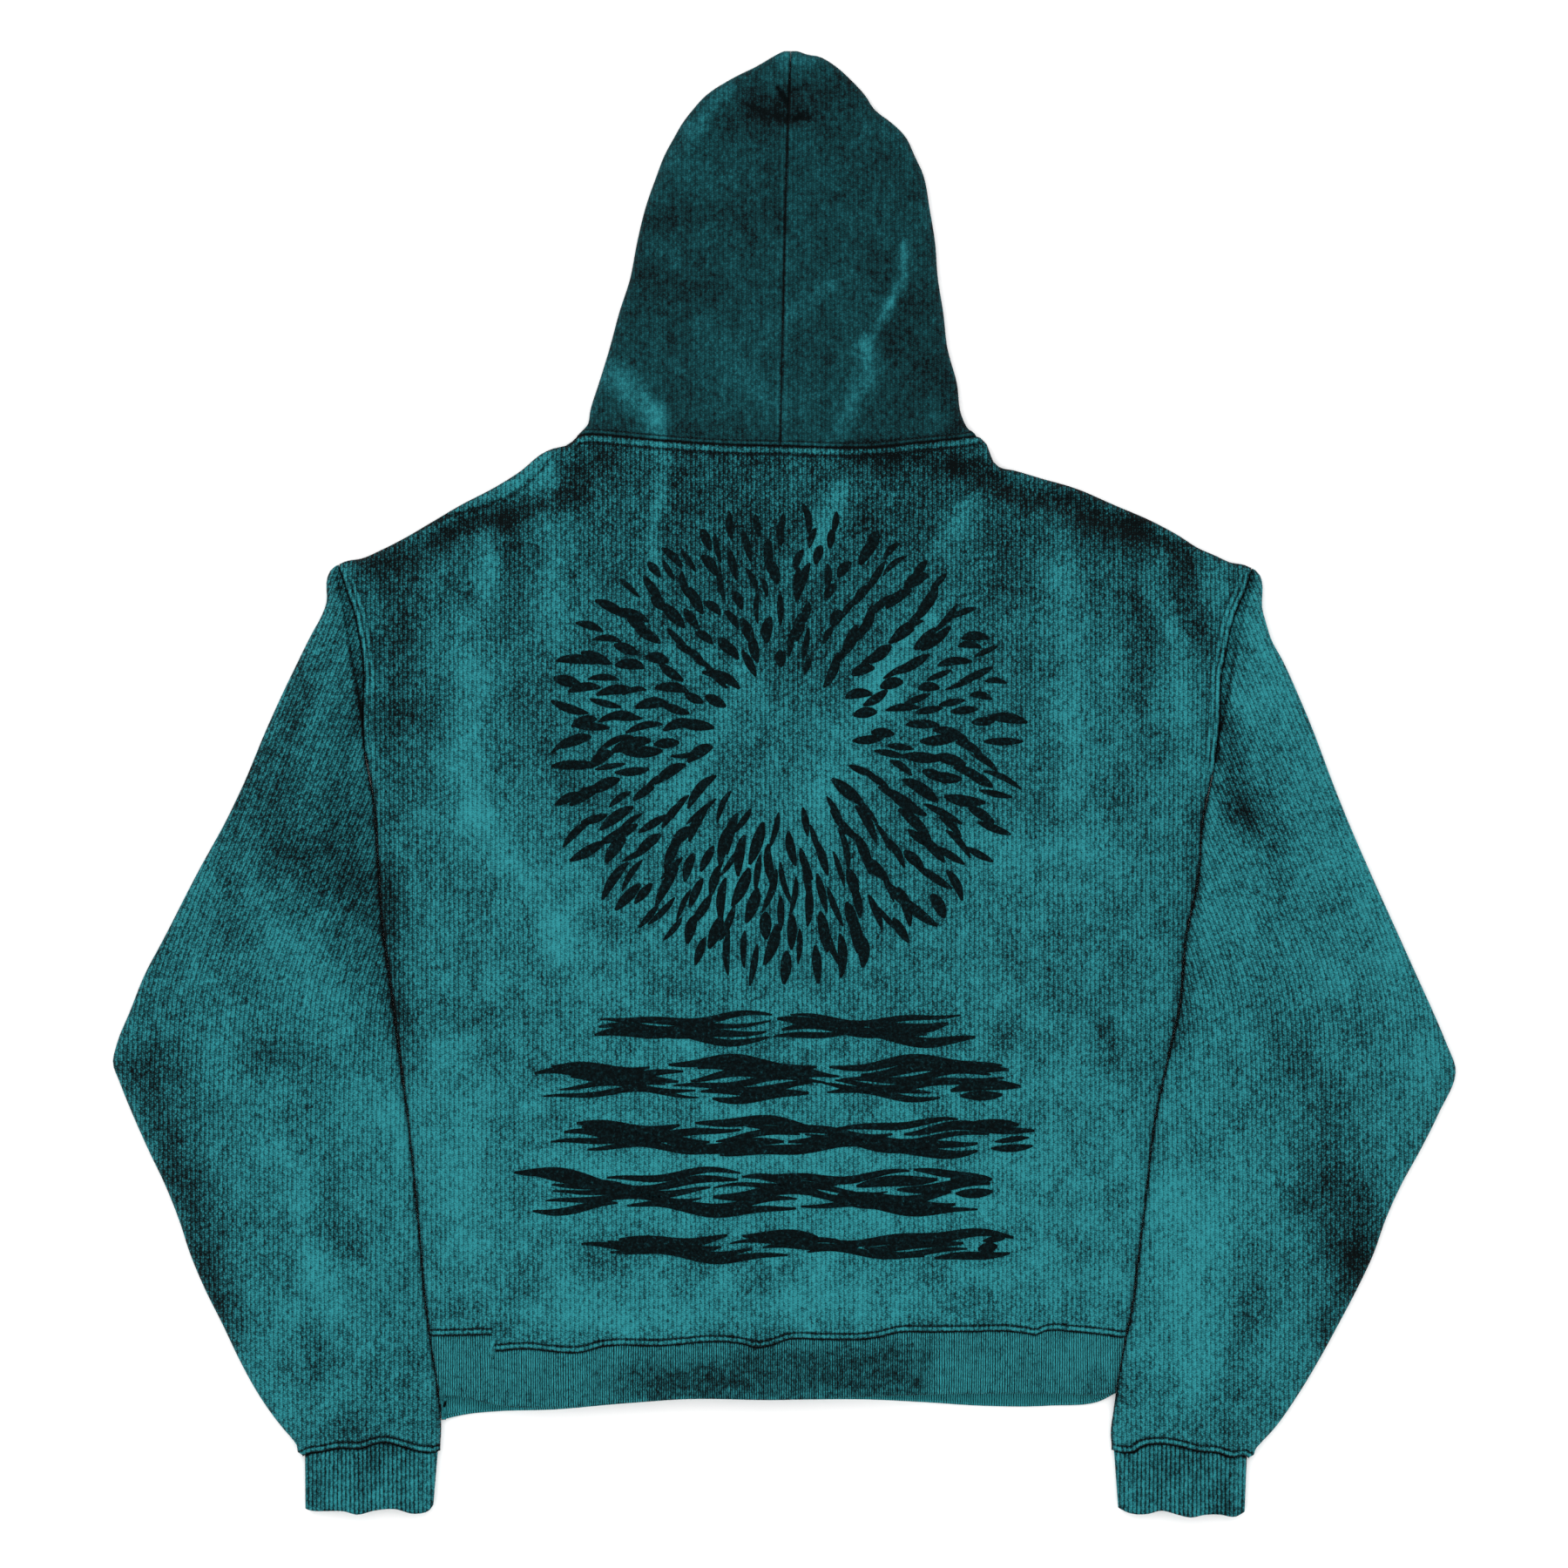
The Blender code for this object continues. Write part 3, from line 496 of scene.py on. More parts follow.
SIDE_GAP = 0.2            # between the body's side and the sleeve that lies beside it, in millimetres
CUFF_SIDE_OUT = {side: Line([SLEEVE_OUTER[side][-1], CUFF_END[side][0]]) for side in (LEFT, RIGHT)}
CUFF_SIDE_IN = {side: Line([SLEEVE_INNER[side][-1], CUFF_END[side][-1]]) for side in (LEFT, RIGHT)}
HOOD_LINE = {side: Line(HOOD_EDGE[side]) for side in (LEFT, RIGHT)}
CENTRE_LINE = Line(BACK_SEAM[::-1])
NECK_LINE = Line(NECK_SEAM)
ARMHOLE_LINE = {side: Line(ARMHOLE[side]) for side in (LEFT, RIGHT)}
PUFF_LINE = {side: Line(PUFF_EDGE[side]) for side in (LEFT, RIGHT)}
SLEEVE_END = {
    side: [(x, y - RIB_JOIN * min(0.15 + abs(x - CUFF_SEAM[side][0][0]) / 14.0, 1.0)) for x, y in CUFF_SEAM[side]]
    for side in (LEFT, RIGHT)
}
SLEEVE_OUT_LINE = {side: Line([*SLEEVE_OUTER[side], SLEEVE_END[side][0]]) for side in (LEFT, RIGHT)}
SLEEVE_IN_LINE = {side: Line([*ARMHOLE[side], *SLEEVE_INNER[side][1:], SLEEVE_END[side][-1]]) for side in (LEFT, RIGHT)}
OUTER_LINE = {
    side: Line([*HOOD_EDGE[side], *SHOULDER_EDGE[side][1:], *SLEEVE_OUTER[side][1:], CUFF_END[side][0]])
    for side in (LEFT, RIGHT)
}
INNER_LINE = {side: Line([*SLEEVE_INNER[side], CUFF_END[side][-1]]) for side in (LEFT, RIGHT)}
BODY_SIDE_LINE = {side: Line(shifted(SLEEVE_INNER[side], x=-side * SIDE_GAP)) for side in (LEFT, RIGHT)}
SHOULDER_STITCH_LINE = Line(SHOULDER_STITCH)
TOP_LINE = Line([*SHOULDER_EDGE[LEFT][::-1], *NECK_SEAM[1:-1], *SHOULDER_EDGE[RIGHT]])
RIB_LINE = Line(shifted(HEM_SEAM, y=-RIB_JOIN), spacing=0.001)
UPPER_HEM_LINE = Line(UPPER_HEM)
LOWER_HEM_LINE = Line(LOWER_HEM)
BODY_FOLDS = (OUTER_LINE[LEFT], OUTER_LINE[RIGHT], BODY_SIDE_LINE[LEFT], BODY_SIDE_LINE[RIGHT])
SLEEVE_FOLDS = {side: (OUTER_LINE[side], INNER_LINE[side]) for side in (LEFT, RIGHT)}


def fold_distance(x, y, folds):
    """The distance to the folded edges, blended so that no crease lies midway between two."""
    distances = [max(line.distance(x, y), 1e-7) for line in folds]
    return sum(distance ** -4 for distance in distances) ** -0.25


def resting_height(distance, from_open_end):
    """The height of the upper layer, by its distances from a folded edge and from an open end."""
    turned = 1.0 - min(distance / FOLD_RADIUS, 1.0)
    fullness = 1.0 - 0.5 * math.exp(-max(from_open_end, 0.0) / OPENING_REACH)
    rounded = FOLD_RADIUS * math.sqrt(max(1.0 - turned * turned, 0.0))
    return RIM_HEIGHT + rounded + CROWN_RISE * fullness * (1.0 - math.exp(-distance / CROWN_REACH))


def underside_height(distance):
    """The height of the lower layer's outer face, which turns up to the rim at a folded edge."""
    turned = 1.0 - min(distance / RIM_HEIGHT, 1.0)
    return RIM_HEIGHT * (1.0 - math.sqrt(max(1.0 - turned * turned, 0.0)))


def uneven(x, y):
    """The cloth's own unevenness, before its folds."""
    broad = noise.noise(Vector((x * 11.0, y * 8.0, 3.7)))
    middling = noise.noise(Vector((x * 27.0 + 5.0, y * 19.0, 8.1)))
    small = noise.noise(Vector((x * 75.0, y * 60.0 + 9.0, 1.3)))
    return (1.5 * broad + 0.8 * middling + 0.28 * small) * MM


def base_wash(x, y):
    """How light the cloth is before the streaks, from 0, darkest, to 1."""
    side = LEFT if x < 0 else RIGHT
    on_back = read_table(BACK_WASH, y)[0]
    on_sleeve = read_table(SLEEVE_WASH[side], y)[0]
    inner = abs(INNER_X[side](y))
    return mix(on_back, on_sleeve, smooth_step((abs(x) - inner) / 0.006 + 0.5))


def inner_reader(side):
    """Reads how far out the line between the body and a sleeve lies at a height."""
    steps = [(y * 0.01, 0.0) for y in range(-56, 20)]
    table = []
    for y, _ in steps:
        line = ARMHOLE_LINE[side] if y > UNDERARM[side][1] * MM else INNER_LINE[side]
        table.append((y, line.read(y, known=1)))
    return lambda y: read_table(table, y)[0]


INNER_X = {side: inner_reader(side) for side in (LEFT, RIGHT)}


def crease(distance, half_width):
    """How deep a point lies in a narrow line, from 0 to 1, by its distance and the line's half width."""
    return math.exp(-(distance / half_width) ** 2)


def profile(table, distance):
    """Height in metres and shade of a seam at a distance in metres."""
    height, shade = read_table(table, distance / MM)
    return height * MM, shade


def shares(length, spacing, start=(0,), end=(0,)):
    """Shares of a length from 0 to 1: at stated distances from both ends, in millimetres, and evenly between."""
    head = [distance * MM / length for distance in start]
    tail = [1.0 - distance * MM / length for distance in reversed(end)]
    steps = max(round((tail[0] - head[-1]) * length / spacing), 1)
    middle = [mix(head[-1], tail[0], step / steps) for step in range(1, steps)]
    return [*head, *middle, *tail]


class Spot:
    """One point of a sheet of cloth, with its place in the knit, its dye with some painted shade, and the painted shade
    and light of its seams, creases and folded edges mixed with the dark of their stitching.
    """

    __slots__ = ("place", "knit", "wash_and_shade", "wear_and_painted_shade")

    def __init__(self, x, y, z, knit, wash_and_shade, wear_and_painted_shade=0.0):
        self.place = (x, y, z)
        self.knit = knit
        self.wash_and_shade = wash_and_shade
        self.wear_and_painted_shade = wear_and_painted_shade


def make_cloth(name, rows, thickness, material, closed=False, top=True, clamp=0.0):
    """Make a sheet of cloth from rows of spots. Its outer face points up where top is true."""
    bm = bmesh.new()
    knit_layer = bm.loops.layers.uv.new("Knit")
    # Per point, one layer holds how light the dye is, with some painted shade, and the other holds the painted shade in
    # seams, creases and folded edges and the painted light on seam ridges, mixed with the dark of the stitching.
    wash_and_shade_layer = bm.verts.layers.float.new("wash_and_shade")
    wear_and_painted_shade_layer = bm.verts.layers.float.new("wear_and_painted_shade")
    bmesh.ops.create_grid(bm, x_segments=len(rows[0]) - 1, y_segments=len(rows) - 1, size=1.0)
    spots = [spot for row in rows for spot in row]
    if len(bm.verts) != len(spots):
        raise RuntimeError(f"{name}: the grid has {len(bm.verts)} points for {len(spots)} spots")
    bm.verts.ensure_lookup_table()
    for vertex, spot in zip(bm.verts, spots):
        vertex.co = spot.place
        vertex[wash_and_shade_layer] = spot.wash_and_shade
        vertex[wear_and_painted_shade_layer] = spot.wear_and_painted_shade
    for face in bm.faces:
        face.smooth = True
        for loop in face.loops:
            loop[knit_layer].uv = spots[loop.vert.index].knit
    bmesh.ops.remove_doubles(bm, verts=bm.verts, dist=0.00002)
    bm.normal_update()
    highest = max(bm.faces, key=lambda face: (face.calc_center_median().z, face.calc_area()))
    lowest = min(bm.faces, key=lambda face: (face.calc_center_median().z, -face.calc_area()))
    wrong = highest.normal.z < 0 if top else lowest.normal.z > 0
    if wrong:
        bmesh.ops.reverse_faces(bm, faces=bm.faces)
    mesh = bpy.data.meshes.new(name)
    bm.to_mesh(mesh)
    bm.free()
    mesh.materials.append(material)
    piece = bpy.data.objects.new(name, mesh)
    bpy.context.scene.collection.objects.link(piece)
    wall = piece.modifiers.new("Cloth thickness", "SOLIDIFY")
    wall.thickness = thickness
    wall.offset = -1.0
    wall.use_quality_normals = True
    wall.thickness_clamp = clamp
    return piece


# ---------------------------------------------------------------------------------------------------------
# Fields that all pieces read
# ---------------------------------------------------------------------------------------------------------

FIELDS = {}
LOW_BACK_BLOTCHES = 0.13


def fold_field():
    """The garment's soft folds and unevenness, as heights in metres."""
    if "folds" not in FIELDS:
        field = Lattice(0.004, uneven)
        for start, end, half_width, height in SOFT_FOLDS:
            field.stroke(start, end, half_width, height * MM)
        FIELDS["folds"] = field
    return FIELDS["folds"]


def dye_and_shade_field():
    """How light the washed dye is over the garment, with the painted shade of the shoulder folds and of the sleeves on
    the body.
    """
    if "wash_and_shade" not in FIELDS:
        field = Lattice(0.003, base_wash)
        for streak in DYE_AND_SHADE_STREAKS:
            field.stroke(*streak)
        FIELDS["wash_and_shade"] = field
    return FIELDS["wash_and_shade"]


def dye_and_shade_at(x, y):
    """How light the dye is at a point, with its painted shade. The streaks run unevenly, as they do where cloth was
    crumpled wet.
    """
    broad = noise.noise_vector(Vector((x * 26.0, y * 26.0, 0.7))) * 0.0075
    fine = noise.noise_vector(Vector((x * 95.0, y * 95.0, 4.1))) * 0.0030
    low = smooth_step((0.10 - y) / 0.25) * smooth_step((y + 0.43) / 0.03)
    blotch = noise.noise(Vector((x * 48.0, y * 62.0, 8.3))) * smooth_step((0.285 - abs(x)) / 0.04) * low
    return dye_and_shade_field().at(x + broad.x + fine.x, y + broad.y + fine.y) + LOW_BACK_BLOTCHES * blotch


def upper_face(x, y, distance, open_end):
    """The height of the upper layer with its folds."""
    return resting_height(distance, y - open_end) + fold_field().at(x, y) * smooth_step(distance / 0.012)


def crown_creases(x, y):
    """Height in metres and painted shade of the sharp creases where the hood's crown is pinched."""
    height, shade = 0.0, 0.0
    for (ax, ay), (bx, by), half_width, rise, dark in CROWN_CREASES:
        run, climb = bx - ax, by - ay
        share = ((x / MM - ax) * run + (y / MM - ay) * climb) / (run * run + climb * climb)
        share = min(max(share, 0.0), 1.0)
        away = math.hypot(x / MM - ax - share * run, y / MM - ay - share * climb) / half_width
        near = math.exp(-away * away)
        height, shade = height + rise * near * MM, shade + dark * near
    return height, shade


def patch(top, bottom, left, right, columns, rows):
    """A grid of points between four lines, by shares across and down."""
    tops, bottoms = [top.at(share) for share in columns], [bottom.at(share) for share in columns]
    lefts, rights = [left.at(share) for share in rows], [right.at(share) for share in rows]
    grid = []
    for down, start, end in zip(rows, lefts, rights):
        row = []
        for across, upper, lower in zip(columns, tops, bottoms):
            corners = mix(mix(top.at(0.0), top.at(1.0), across), mix(bottom.at(0.0), bottom.at(1.0), across), down)
            row.append(mix(upper, lower, down) + mix(start, end, across) - corners)
        grid.append(row)
    return grid


# ---------------------------------------------------------------------------------------------------------
# Pieces
# ---------------------------------------------------------------------------------------------------------

def body_side_x(side, y):
    """How far out a body panel reaches at a height: to the armhole seam, or to the side below it."""
    if y > UNDERARM[side][1] * MM:
        return ARMHOLE_LINE[side].read(y, known=1)
    return BODY_SIDE_LINE[side].read(y, known=1)


def level_rib(x):
    """The height of the hem's rib without its step, for the rows of the grid that lie far above it."""
    past_side = smooth_step((x - RIB_LINE.points[0].x) / (HEM_STEP_X - RIB_LINE.points[0].x))
    return RIB_LINE.read(x) - HEM_STEP_HEIGHT * past_side * (x < HEM_STEP_X)


def body_grid(columns, rows, top_y):
    """Points of a body panel: rows from the top edge to the rib, columns from side to side."""
    tip_y = {side: SHOULDER_TIP[side][1] * MM for side in (LEFT, RIGHT)}
    hem_y = {side: RIB_LINE.points[0 if side == LEFT else -1].y for side in (LEFT, RIGHT)}
    tip_x = {side: SHOULDER_TIP[side][0] * MM for side in (LEFT, RIGHT)}
    hem_x = {side: body_side_x(side, hem_y[side]) for side in (LEFT, RIGHT)}
    tops = [top_y(mix(tip_x[LEFT], tip_x[RIGHT], share)) for share in columns]
    rib_x = [mix(hem_x[LEFT], hem_x[RIGHT], share) for share in columns]
    bottoms, levels = [RIB_LINE.read(x) for x in rib_x], [level_rib(x) for x in rib_x]
    grid = []
    for down in rows:
        stepped = smooth_step((down - 0.950) / 0.028)
        ends = [body_side_x(side, mix(tip_y[side], hem_y[side], down)) for side in (LEFT, RIGHT)]
        grid.append([
            Vector((mix(ends[0], ends[1], across), mix(upper, level, down) + (lower - level) * stepped))
            for across, upper, level, lower in zip(columns, tops, levels, bottoms)
        ])
    return grid


def back_seams(x, y, from_rib, from_step):
    """Height of the seams on the back panel at a point, and the painted shade and light of its seams and folded edges.
    """
    side = LEFT if x < 0 else RIGHT
    height, shade = profile(RIB_JOIN_PROFILE, from_rib)
    beside_step = smooth_step((from_step - 0.00015) / 0.0004)
    height, shade = height * beside_step, shade * beside_step
    # Painted shade in the fold between the body's side and the sleeve that lies beside it.
    if y < UNDERARM[side][1] * MM:
        shade -= 0.55 * crease(BODY_SIDE_LINE[side].distance(x, y), 0.0011)
    if y > UNDERARM[side][1] * MM - 0.004 and abs(x) > 0.28:
        rise, dark = profile(ARMHOLE_PROFILE, ARMHOLE_LINE[side].distance(x, y))
        fade = smooth_step((y - UNDERARM[side][1] * MM + 0.004) / 0.006) * smooth_step((0.159 - y) / 0.008)
        height, shade = height + rise * fade, shade + dark * fade
    if y > 0.22 and abs(x) < 0.17:
        rise, dark = profile(NECK_PROFILE, NECK_LINE.distance(x, y))
        height, shade = height + rise, shade + dark
    # Painted shade along the folded edge of the shoulders.
    if y > 0.15:
        shade -= 0.22 * crease(OUTER_LINE[side].distance(x, y), 0.0016)
    # Painted shade in the groove of the shoulder's row of stitching, with a painted lighter band beside it.
    if y > 0.18 and x < -0.16:
        to_row = SHOULDER_STITCH_LINE.distance(x, y)
        row, band = crease(to_row, 0.0010), crease(to_row - 0.0040, 0.0028)
        height, shade = height - 0.7 * MM * row, shade - 0.42 * row + 0.10 * band
    return height, shade


def turned_edge(row, middle_x):
    """Add a spot at both ends of a row, turned down under its folded edge."""
    ends = []
    for spot in (row[0], row[-1]):
        x, y, z = spot.place
        inward = TURN_IN if x < middle_x else -TURN_IN
        ends.append(Spot(x + inward, y, z - TURN_DOWN, spot.knit, spot.wash_and_shade, spot.wear_and_painted_shade))
    return [ends[0], *row, ends[1]]


def build_back(material):
    """The back, from the neck seam and the shoulders to the rib, with its edges turned down over the front."""
    columns = shares(0.600, 0.0042, SEAM_LINES, SEAM_LINES)
    left_x, right_x = (body_side_x(side, RIB_LINE.points[end].y) for side, end in ((LEFT, 0), (RIGHT, -1)))
    step_share = (HEM_STEP_X - left_x) / (right_x - left_x)
    columns = sorted([*columns, *(step_share + offset * MM / (right_x - left_x) for offset in STEP_LINES)])
    rows = shares(0.610, 0.0042, SEAM_LINES, DOUBLE_ROW_LINES)
    spots = []
    grid = body_grid(columns, rows, TOP_LINE.read)
    for points in grid:
        row = []
        for (x, y), share, foot in zip(points, columns, grid[-1]):
            distance = fold_distance(x, y, BODY_FOLDS)
            height, shade = back_seams(x, y, y - foot.y, abs(share - step_share) * (right_x - left_x))
            z = upper_face(x, y, distance, HEM_END_Y) + height * smooth_step(distance / 0.003)
            row.append(Spot(x, y, max(z, RIM_HEIGHT - 0.0009), (x, y), dye_and_shade_at(x, y), shade))
        spots.append(turned_edge(row, 0.0))
    first = [Spot(s.place[0], s.place[1] - TURN_IN, s.place[2] - TURN_DOWN, s.knit, s.wash_and_shade, s.wear_and_painted_shade) for s in spots[0]]
    return make_cloth("back_panel", [first, *spots][::-1], 0.0026, material, clamp=2.0)


def pocket_lift(x, y):
    """How far the front is lifted off the ground by the pocket and the air in it."""
    slope = 0.030
    side = POCKET_HALF + 0.030 * smooth_step((y - POCKET_SIDE_Y) / slope)
    over = smooth_step((POCKET_TOP_Y + 0.035 + slope - y) / slope)
    over *= smooth_step((side + 0.035 + slope - abs(x)) / slope)
    room = smooth_step((POCKET_TOP_Y - y) / slope) * smooth_step((y - POCKET_BASE_Y) / slope)
    room *= smooth_step((side - abs(x)) / slope)
    return 0.0030 * over + 0.0062 * room


def front_top_y(x):
    """The top edge of the front panel: the shoulders, and the neckline that dips between them."""
    side = LEFT if x < 0 else RIGHT
    corner_x, corner_y = (value * MM for value in NECK_CORNER[side])
    if abs(x) >= abs(corner_x):
        return TOP_LINE.read(x) - 0.0005
    dip = abs(x / corner_x) ** NECKLINE_POWER
    return mix(NECKLINE_CENTRE_Y, corner_y - 0.0005, dip)


def build_front(material):
    """The front, face down on the ground and lifted over the pocket."""
    columns = shares(0.600, 0.0075, (0, 0.6, 1.4, 3), (0, 0.6, 1.4, 3))
    rows = shares(0.610, 0.0075, (0, 0.6, 1.4, 3), (0, 1, 2, 4))
    spots = []
    for points in body_grid(columns, rows, front_top_y):
        row = []
        for index, (x, y) in enumerate(points):
            x -= math.copysign(0.0006, x) * smooth_step((abs(x) - 0.2) / 0.05)
            edge = min(fold_distance(x, y, BODY_FOLDS), 0.002) / 0.002
            z = pocket_lift(x, y) + 0.0006 * (1.0 - edge) ** 2
            row.append(Spot(x, y, z, (-x, y), mix(0.62, dye_and_shade_at(x, y), 0.5)))
        spots.append(row)
    return make_cloth("front_panel", spots[::-1], 0.0023, material, top=False)


def pocket_half_width(y):
    """Half the pocket's width at a height: straight at the sewn side, slanting in at the hand opening."""
    share = (y - POCKET_SIDE_Y) / (POCKET_TOP_Y - POCKET_SIDE_Y)
    return mix(POCKET_HALF, POCKET_TOP_HALF, min(max(share, 0.0), 1.0))


def build_pocket(material):
    """The pouch pocket on the front, flat on the ground, with a ridge along its hems."""
    columns = shares(0.300, 0.0045, SEAM_LINES, SEAM_LINES)
    rows = shares(0.234, 0.0045, SEAM_LINES, (0, 0.6, 1.5, 3, 6))
    spots = []
    for down in rows:
        row = []
        for across in columns:
            y = mix(POCKET_TOP_Y, POCKET_BASE_Y, down)
            half = pocket_half_width(y)
            x = (2.0 * across - 1.0) * half
            y = mix(POCKET_TOP_Y, RIB_LINE.read(x) + 0.0008, down)
            inside = min(half - abs(x), POCKET_TOP_Y - y)
            z = 0.0005 * smooth_step(inside / 0.002) + 0.0002 * noise.noise(Vector((x * 40, y * 40, 0.3)))
            z -= 0.0005 * math.exp(-((inside - 0.024) / 0.0012) ** 2)
            z = max(z, 0.0) + 0.0006 * (1.0 - smooth_step(inside / 0.0015))
            # Painted shade in the groove of the hem's stitching and painted light along the pocket's edge.
            shade = -0.22 * math.exp(-((inside - 0.024) / 0.0010) ** 2) + 0.08 * math.exp(-(inside / 0.002) ** 2)
            row.append(Spot(x, y, z, (-x, y), mix(0.62, dye_and_shade_at(x, y), 0.5), shade))
        spots.append(row)
    return make_cloth("front_pocket", spots[::-1], 0.0019, material, top=False)


def leaning(side, x, y):
    """Where a point of a sleeve lies across the knit, whose wales lean with the outer edge near the shoulder."""
    above = y - LEAN_FROM_Y
    above = 0.5 * (above + math.hypot(above, 0.03))
    return x + side * BODY_LEAN * above


def sleeve_seams(side, x, y):
    """Height and painted shade of the strip beside the armhole, the puff past it, the twin rows above the cuff and the
    inner folded edge.
    """
    height, shade = 0.0, 0.0
    if y > -0.03:
        to_seam = ARMHOLE_LINE[side].distance(x, y)
        to_puff = PUFF_LINE[side].distance(x, y)
        along = smooth_step((y - 0.004) / 0.02) * smooth_step((0.162 - y) / 0.008)
        beyond = side * x > side * PUFF_LINE[side].read(y, known=1)
        near = math.exp(-(to_puff / 0.0011) ** 2)
        if beyond:
            roll = 1.6 * math.exp(-to_puff / 0.010)
            height += (roll * (1.0 - 0.6 * near) - 1.3 * near) * MM * along
        else:
            height -= (2.0 + 0.5 * near) * MM * along
            # The strip beside the armhole is painted in shade, darkest low down.
            strength = 0.45
            shade -= mix(0.24, 0.55, smooth_step((0.092 - y) / 0.03)) * along * strength
        # Painted shade along the puff's edge.
        shade -= mix(0.02, 0.40, smooth_step((0.115 - y) / 0.04)) * near * along
        # The seam lies in a groove, painted dark with its shade.
        height -= 0.9 * MM * math.exp(-(to_seam / 0.0008) ** 2)
        shade -= 0.42 * math.exp(-(to_seam / 0.0009) ** 2) * smooth_step((y + 0.012) / 0.02)
    if y < -0.45:
        rise, dark = profile(RIB_JOIN_PROFILE, FIELDS[side, "cuff edge"].distance(x, y))
        puff = 1.3 * MM * math.exp(-((FIELDS[side, "cuff row"].distance(x, y) - 0.007) / 0.005) ** 2)
        height, shade = height + rise + puff, shade + dark
    # Painted shade along the sleeve's inner folded edge.
    shade -= 0.50 * crease(INNER_LINE[side].distance(x, y), 0.0011)
    return height, shade


def build_sleeve(side, material):
    """A sleeve as a flattened tube, from the armhole to the twin rows above the cuff."""
    hand = "left" if side == LEFT else "right"
    FIELDS[side, "cuff edge"] = Line(SLEEVE_END[side])
    FIELDS[side, "cuff row"] = Line(CUFF_SEAM[side])
    over = shares(0.190, 0.0042, FOLD_LINES, FOLD_LINES)
    under = [1.0 - share for share in shares(0.190, 0.0100, UNDER_LINES, UNDER_LINES)[1:-1]]
    rows = shares(0.650, 0.0042, (1, 2, 3.5), DOUBLE_ROW_LINES)
    tip_x, tip_y = SHOULDER_TIP[side]
    top = Line([(tip_x, tip_y), (tip_x + side, tip_y)])
    grid = patch(top, FIELDS[side, "cuff edge"], SLEEVE_OUT_LINE[side], SLEEVE_IN_LINE[side], [*over, *under], rows)
    spots = []
    for points in grid:
        row = []
        for index, (x, y) in enumerate(points):
            across = [*over, *under][index]
            beside_armhole = smooth_step((y - UNDERARM[side][1] * MM + 0.010) / 0.020)
            x += side * SEAM_GAP * smooth_step(2.0 * across - 1.0) * beside_armhole
            from_sides = min(across, 1.0 - across + beside_armhole) * 0.19
            distance = min(fold_distance(x, y, SLEEVE_FOLDS[side]), from_sides)
            wash_and_shade = dye_and_shade_at(x, y)
            if index < len(over):
                height, shade = sleeve_seams(side, x, y)
                z = upper_face(x, y, distance, CUFF_END_Y) + height * smooth_step(distance / 0.003)
                knit = (leaning(side, x, y), y)
                row.append(Spot(x, y, max(z, RIM_HEIGHT), knit, wash_and_shade, shade))
            else:
                z = underside_height(distance)
                row.append(Spot(x, y, z, (-x, y), mix(0.62, wash_and_shade, 0.5)))
        spots.append([*row, row[0]])
    return make_cloth(f"{hand}_sleeve", spots[::-1], 0.0026, material, clamp=2.0)


def rib_wave(place, pitch):
    """The height of a rib across its pitch, from 0 in the narrow groove to 1 on the round wale."""
    return abs(math.cos(math.pi * place / pitch)) ** 0.6


def build_rib(name, upper, lower, pitch, columns_over, rows, end, thickness, material, wander, step_share=None):
    """A band of rib as a flattened tube. Each layer gives a point by shares across and down."""
    columns_under = [1.0 - share for share in shares(columns_over[1], 0.0026, UNDER_LINES, UNDER_LINES)[1:-1]]
    length = rows[1]
    spots = []
    for tucked, down in ((True, rows[0][0]), *((False, down) for down in rows[0])):
        row = []
        from_end = (1.0 - down) * length
        from_seam = down * length
        turned = 1.0 - min(from_end / RIB_END_ROUND, 1.0)
        rounding = RIB_END_ROUND * (1.0 - math.sqrt(max(1.0 - turned * turned, 0.0)))
        gather = 0.0006 * math.exp(-from_seam / 0.005)
        for is_over, across in [*((True, c) for c in columns_over[0]), *((False, c) for c in columns_under)]:
            x, y, distance = (upper if is_over else lower)(across, down)
            if tucked:
                y += RIB_TUCK
            place = x + wander * noise.noise(Vector((x * 45.0, y * 14.0, 2.2)))
            wave = rib_wave(place, pitch)
            fold = smooth_step(distance / 0.004)
            wash_and_shade = dye_and_shade_at(x, y)
            groove, dark = profile(RIB_EDGE_PROFILE, from_seam)
            if step_share is not None:
                beside_step = smooth_step((abs(across - step_share) * columns_over[1] - 0.00015) / 0.0004)
                groove, dark = groove * beside_step, dark * beside_step
            if is_over:
                ripple = gather * noise.noise(Vector((x * 210.0, 0.0, 4.0)))
                z = upper_face(x, y, distance, end) - rounding * fold
                z += ((wave - 1.0) * RIB_DEPTH * smooth_step(from_end / 0.003) + groove + ripple) * fold
                z -= RIB_UNDER * smooth_step(distance / 0.006) * tucked
                # Painted shade in the seam's groove and in each rib's groove, painted light on its round wale, and
                # painted shade where the rib turns under at its end.
                shade = dark + 0.20 * (wave - 0.72) - 0.10 * (1.0 - smooth_step(from_end / 0.002))
                row.append(Spot(x, y, max(z, RIM_HEIGHT - 0.001), (place + pitch / 2.0, y), wash_and_shade, shade))
            else:
                z = underside_height(distance) + rounding * fold + (1.0 - wave) * 0.5 * RIB_DEPTH * fold
                z += RIB_UNDER * smooth_step(distance / 0.006) * tucked
                # The lower layer is painted light, as light as the rib, against the shade it lies in under the upper
                # layer, with painted shade in its grooves.
                row.append(Spot(x, y, z, (-place, y), mix(0.84, wash_and_shade, 0.2), 0.10 * (wave - 0.6)))
        spots.append([*row, row[0]])
    return make_cloth(name, spots[::-1], thickness, material)


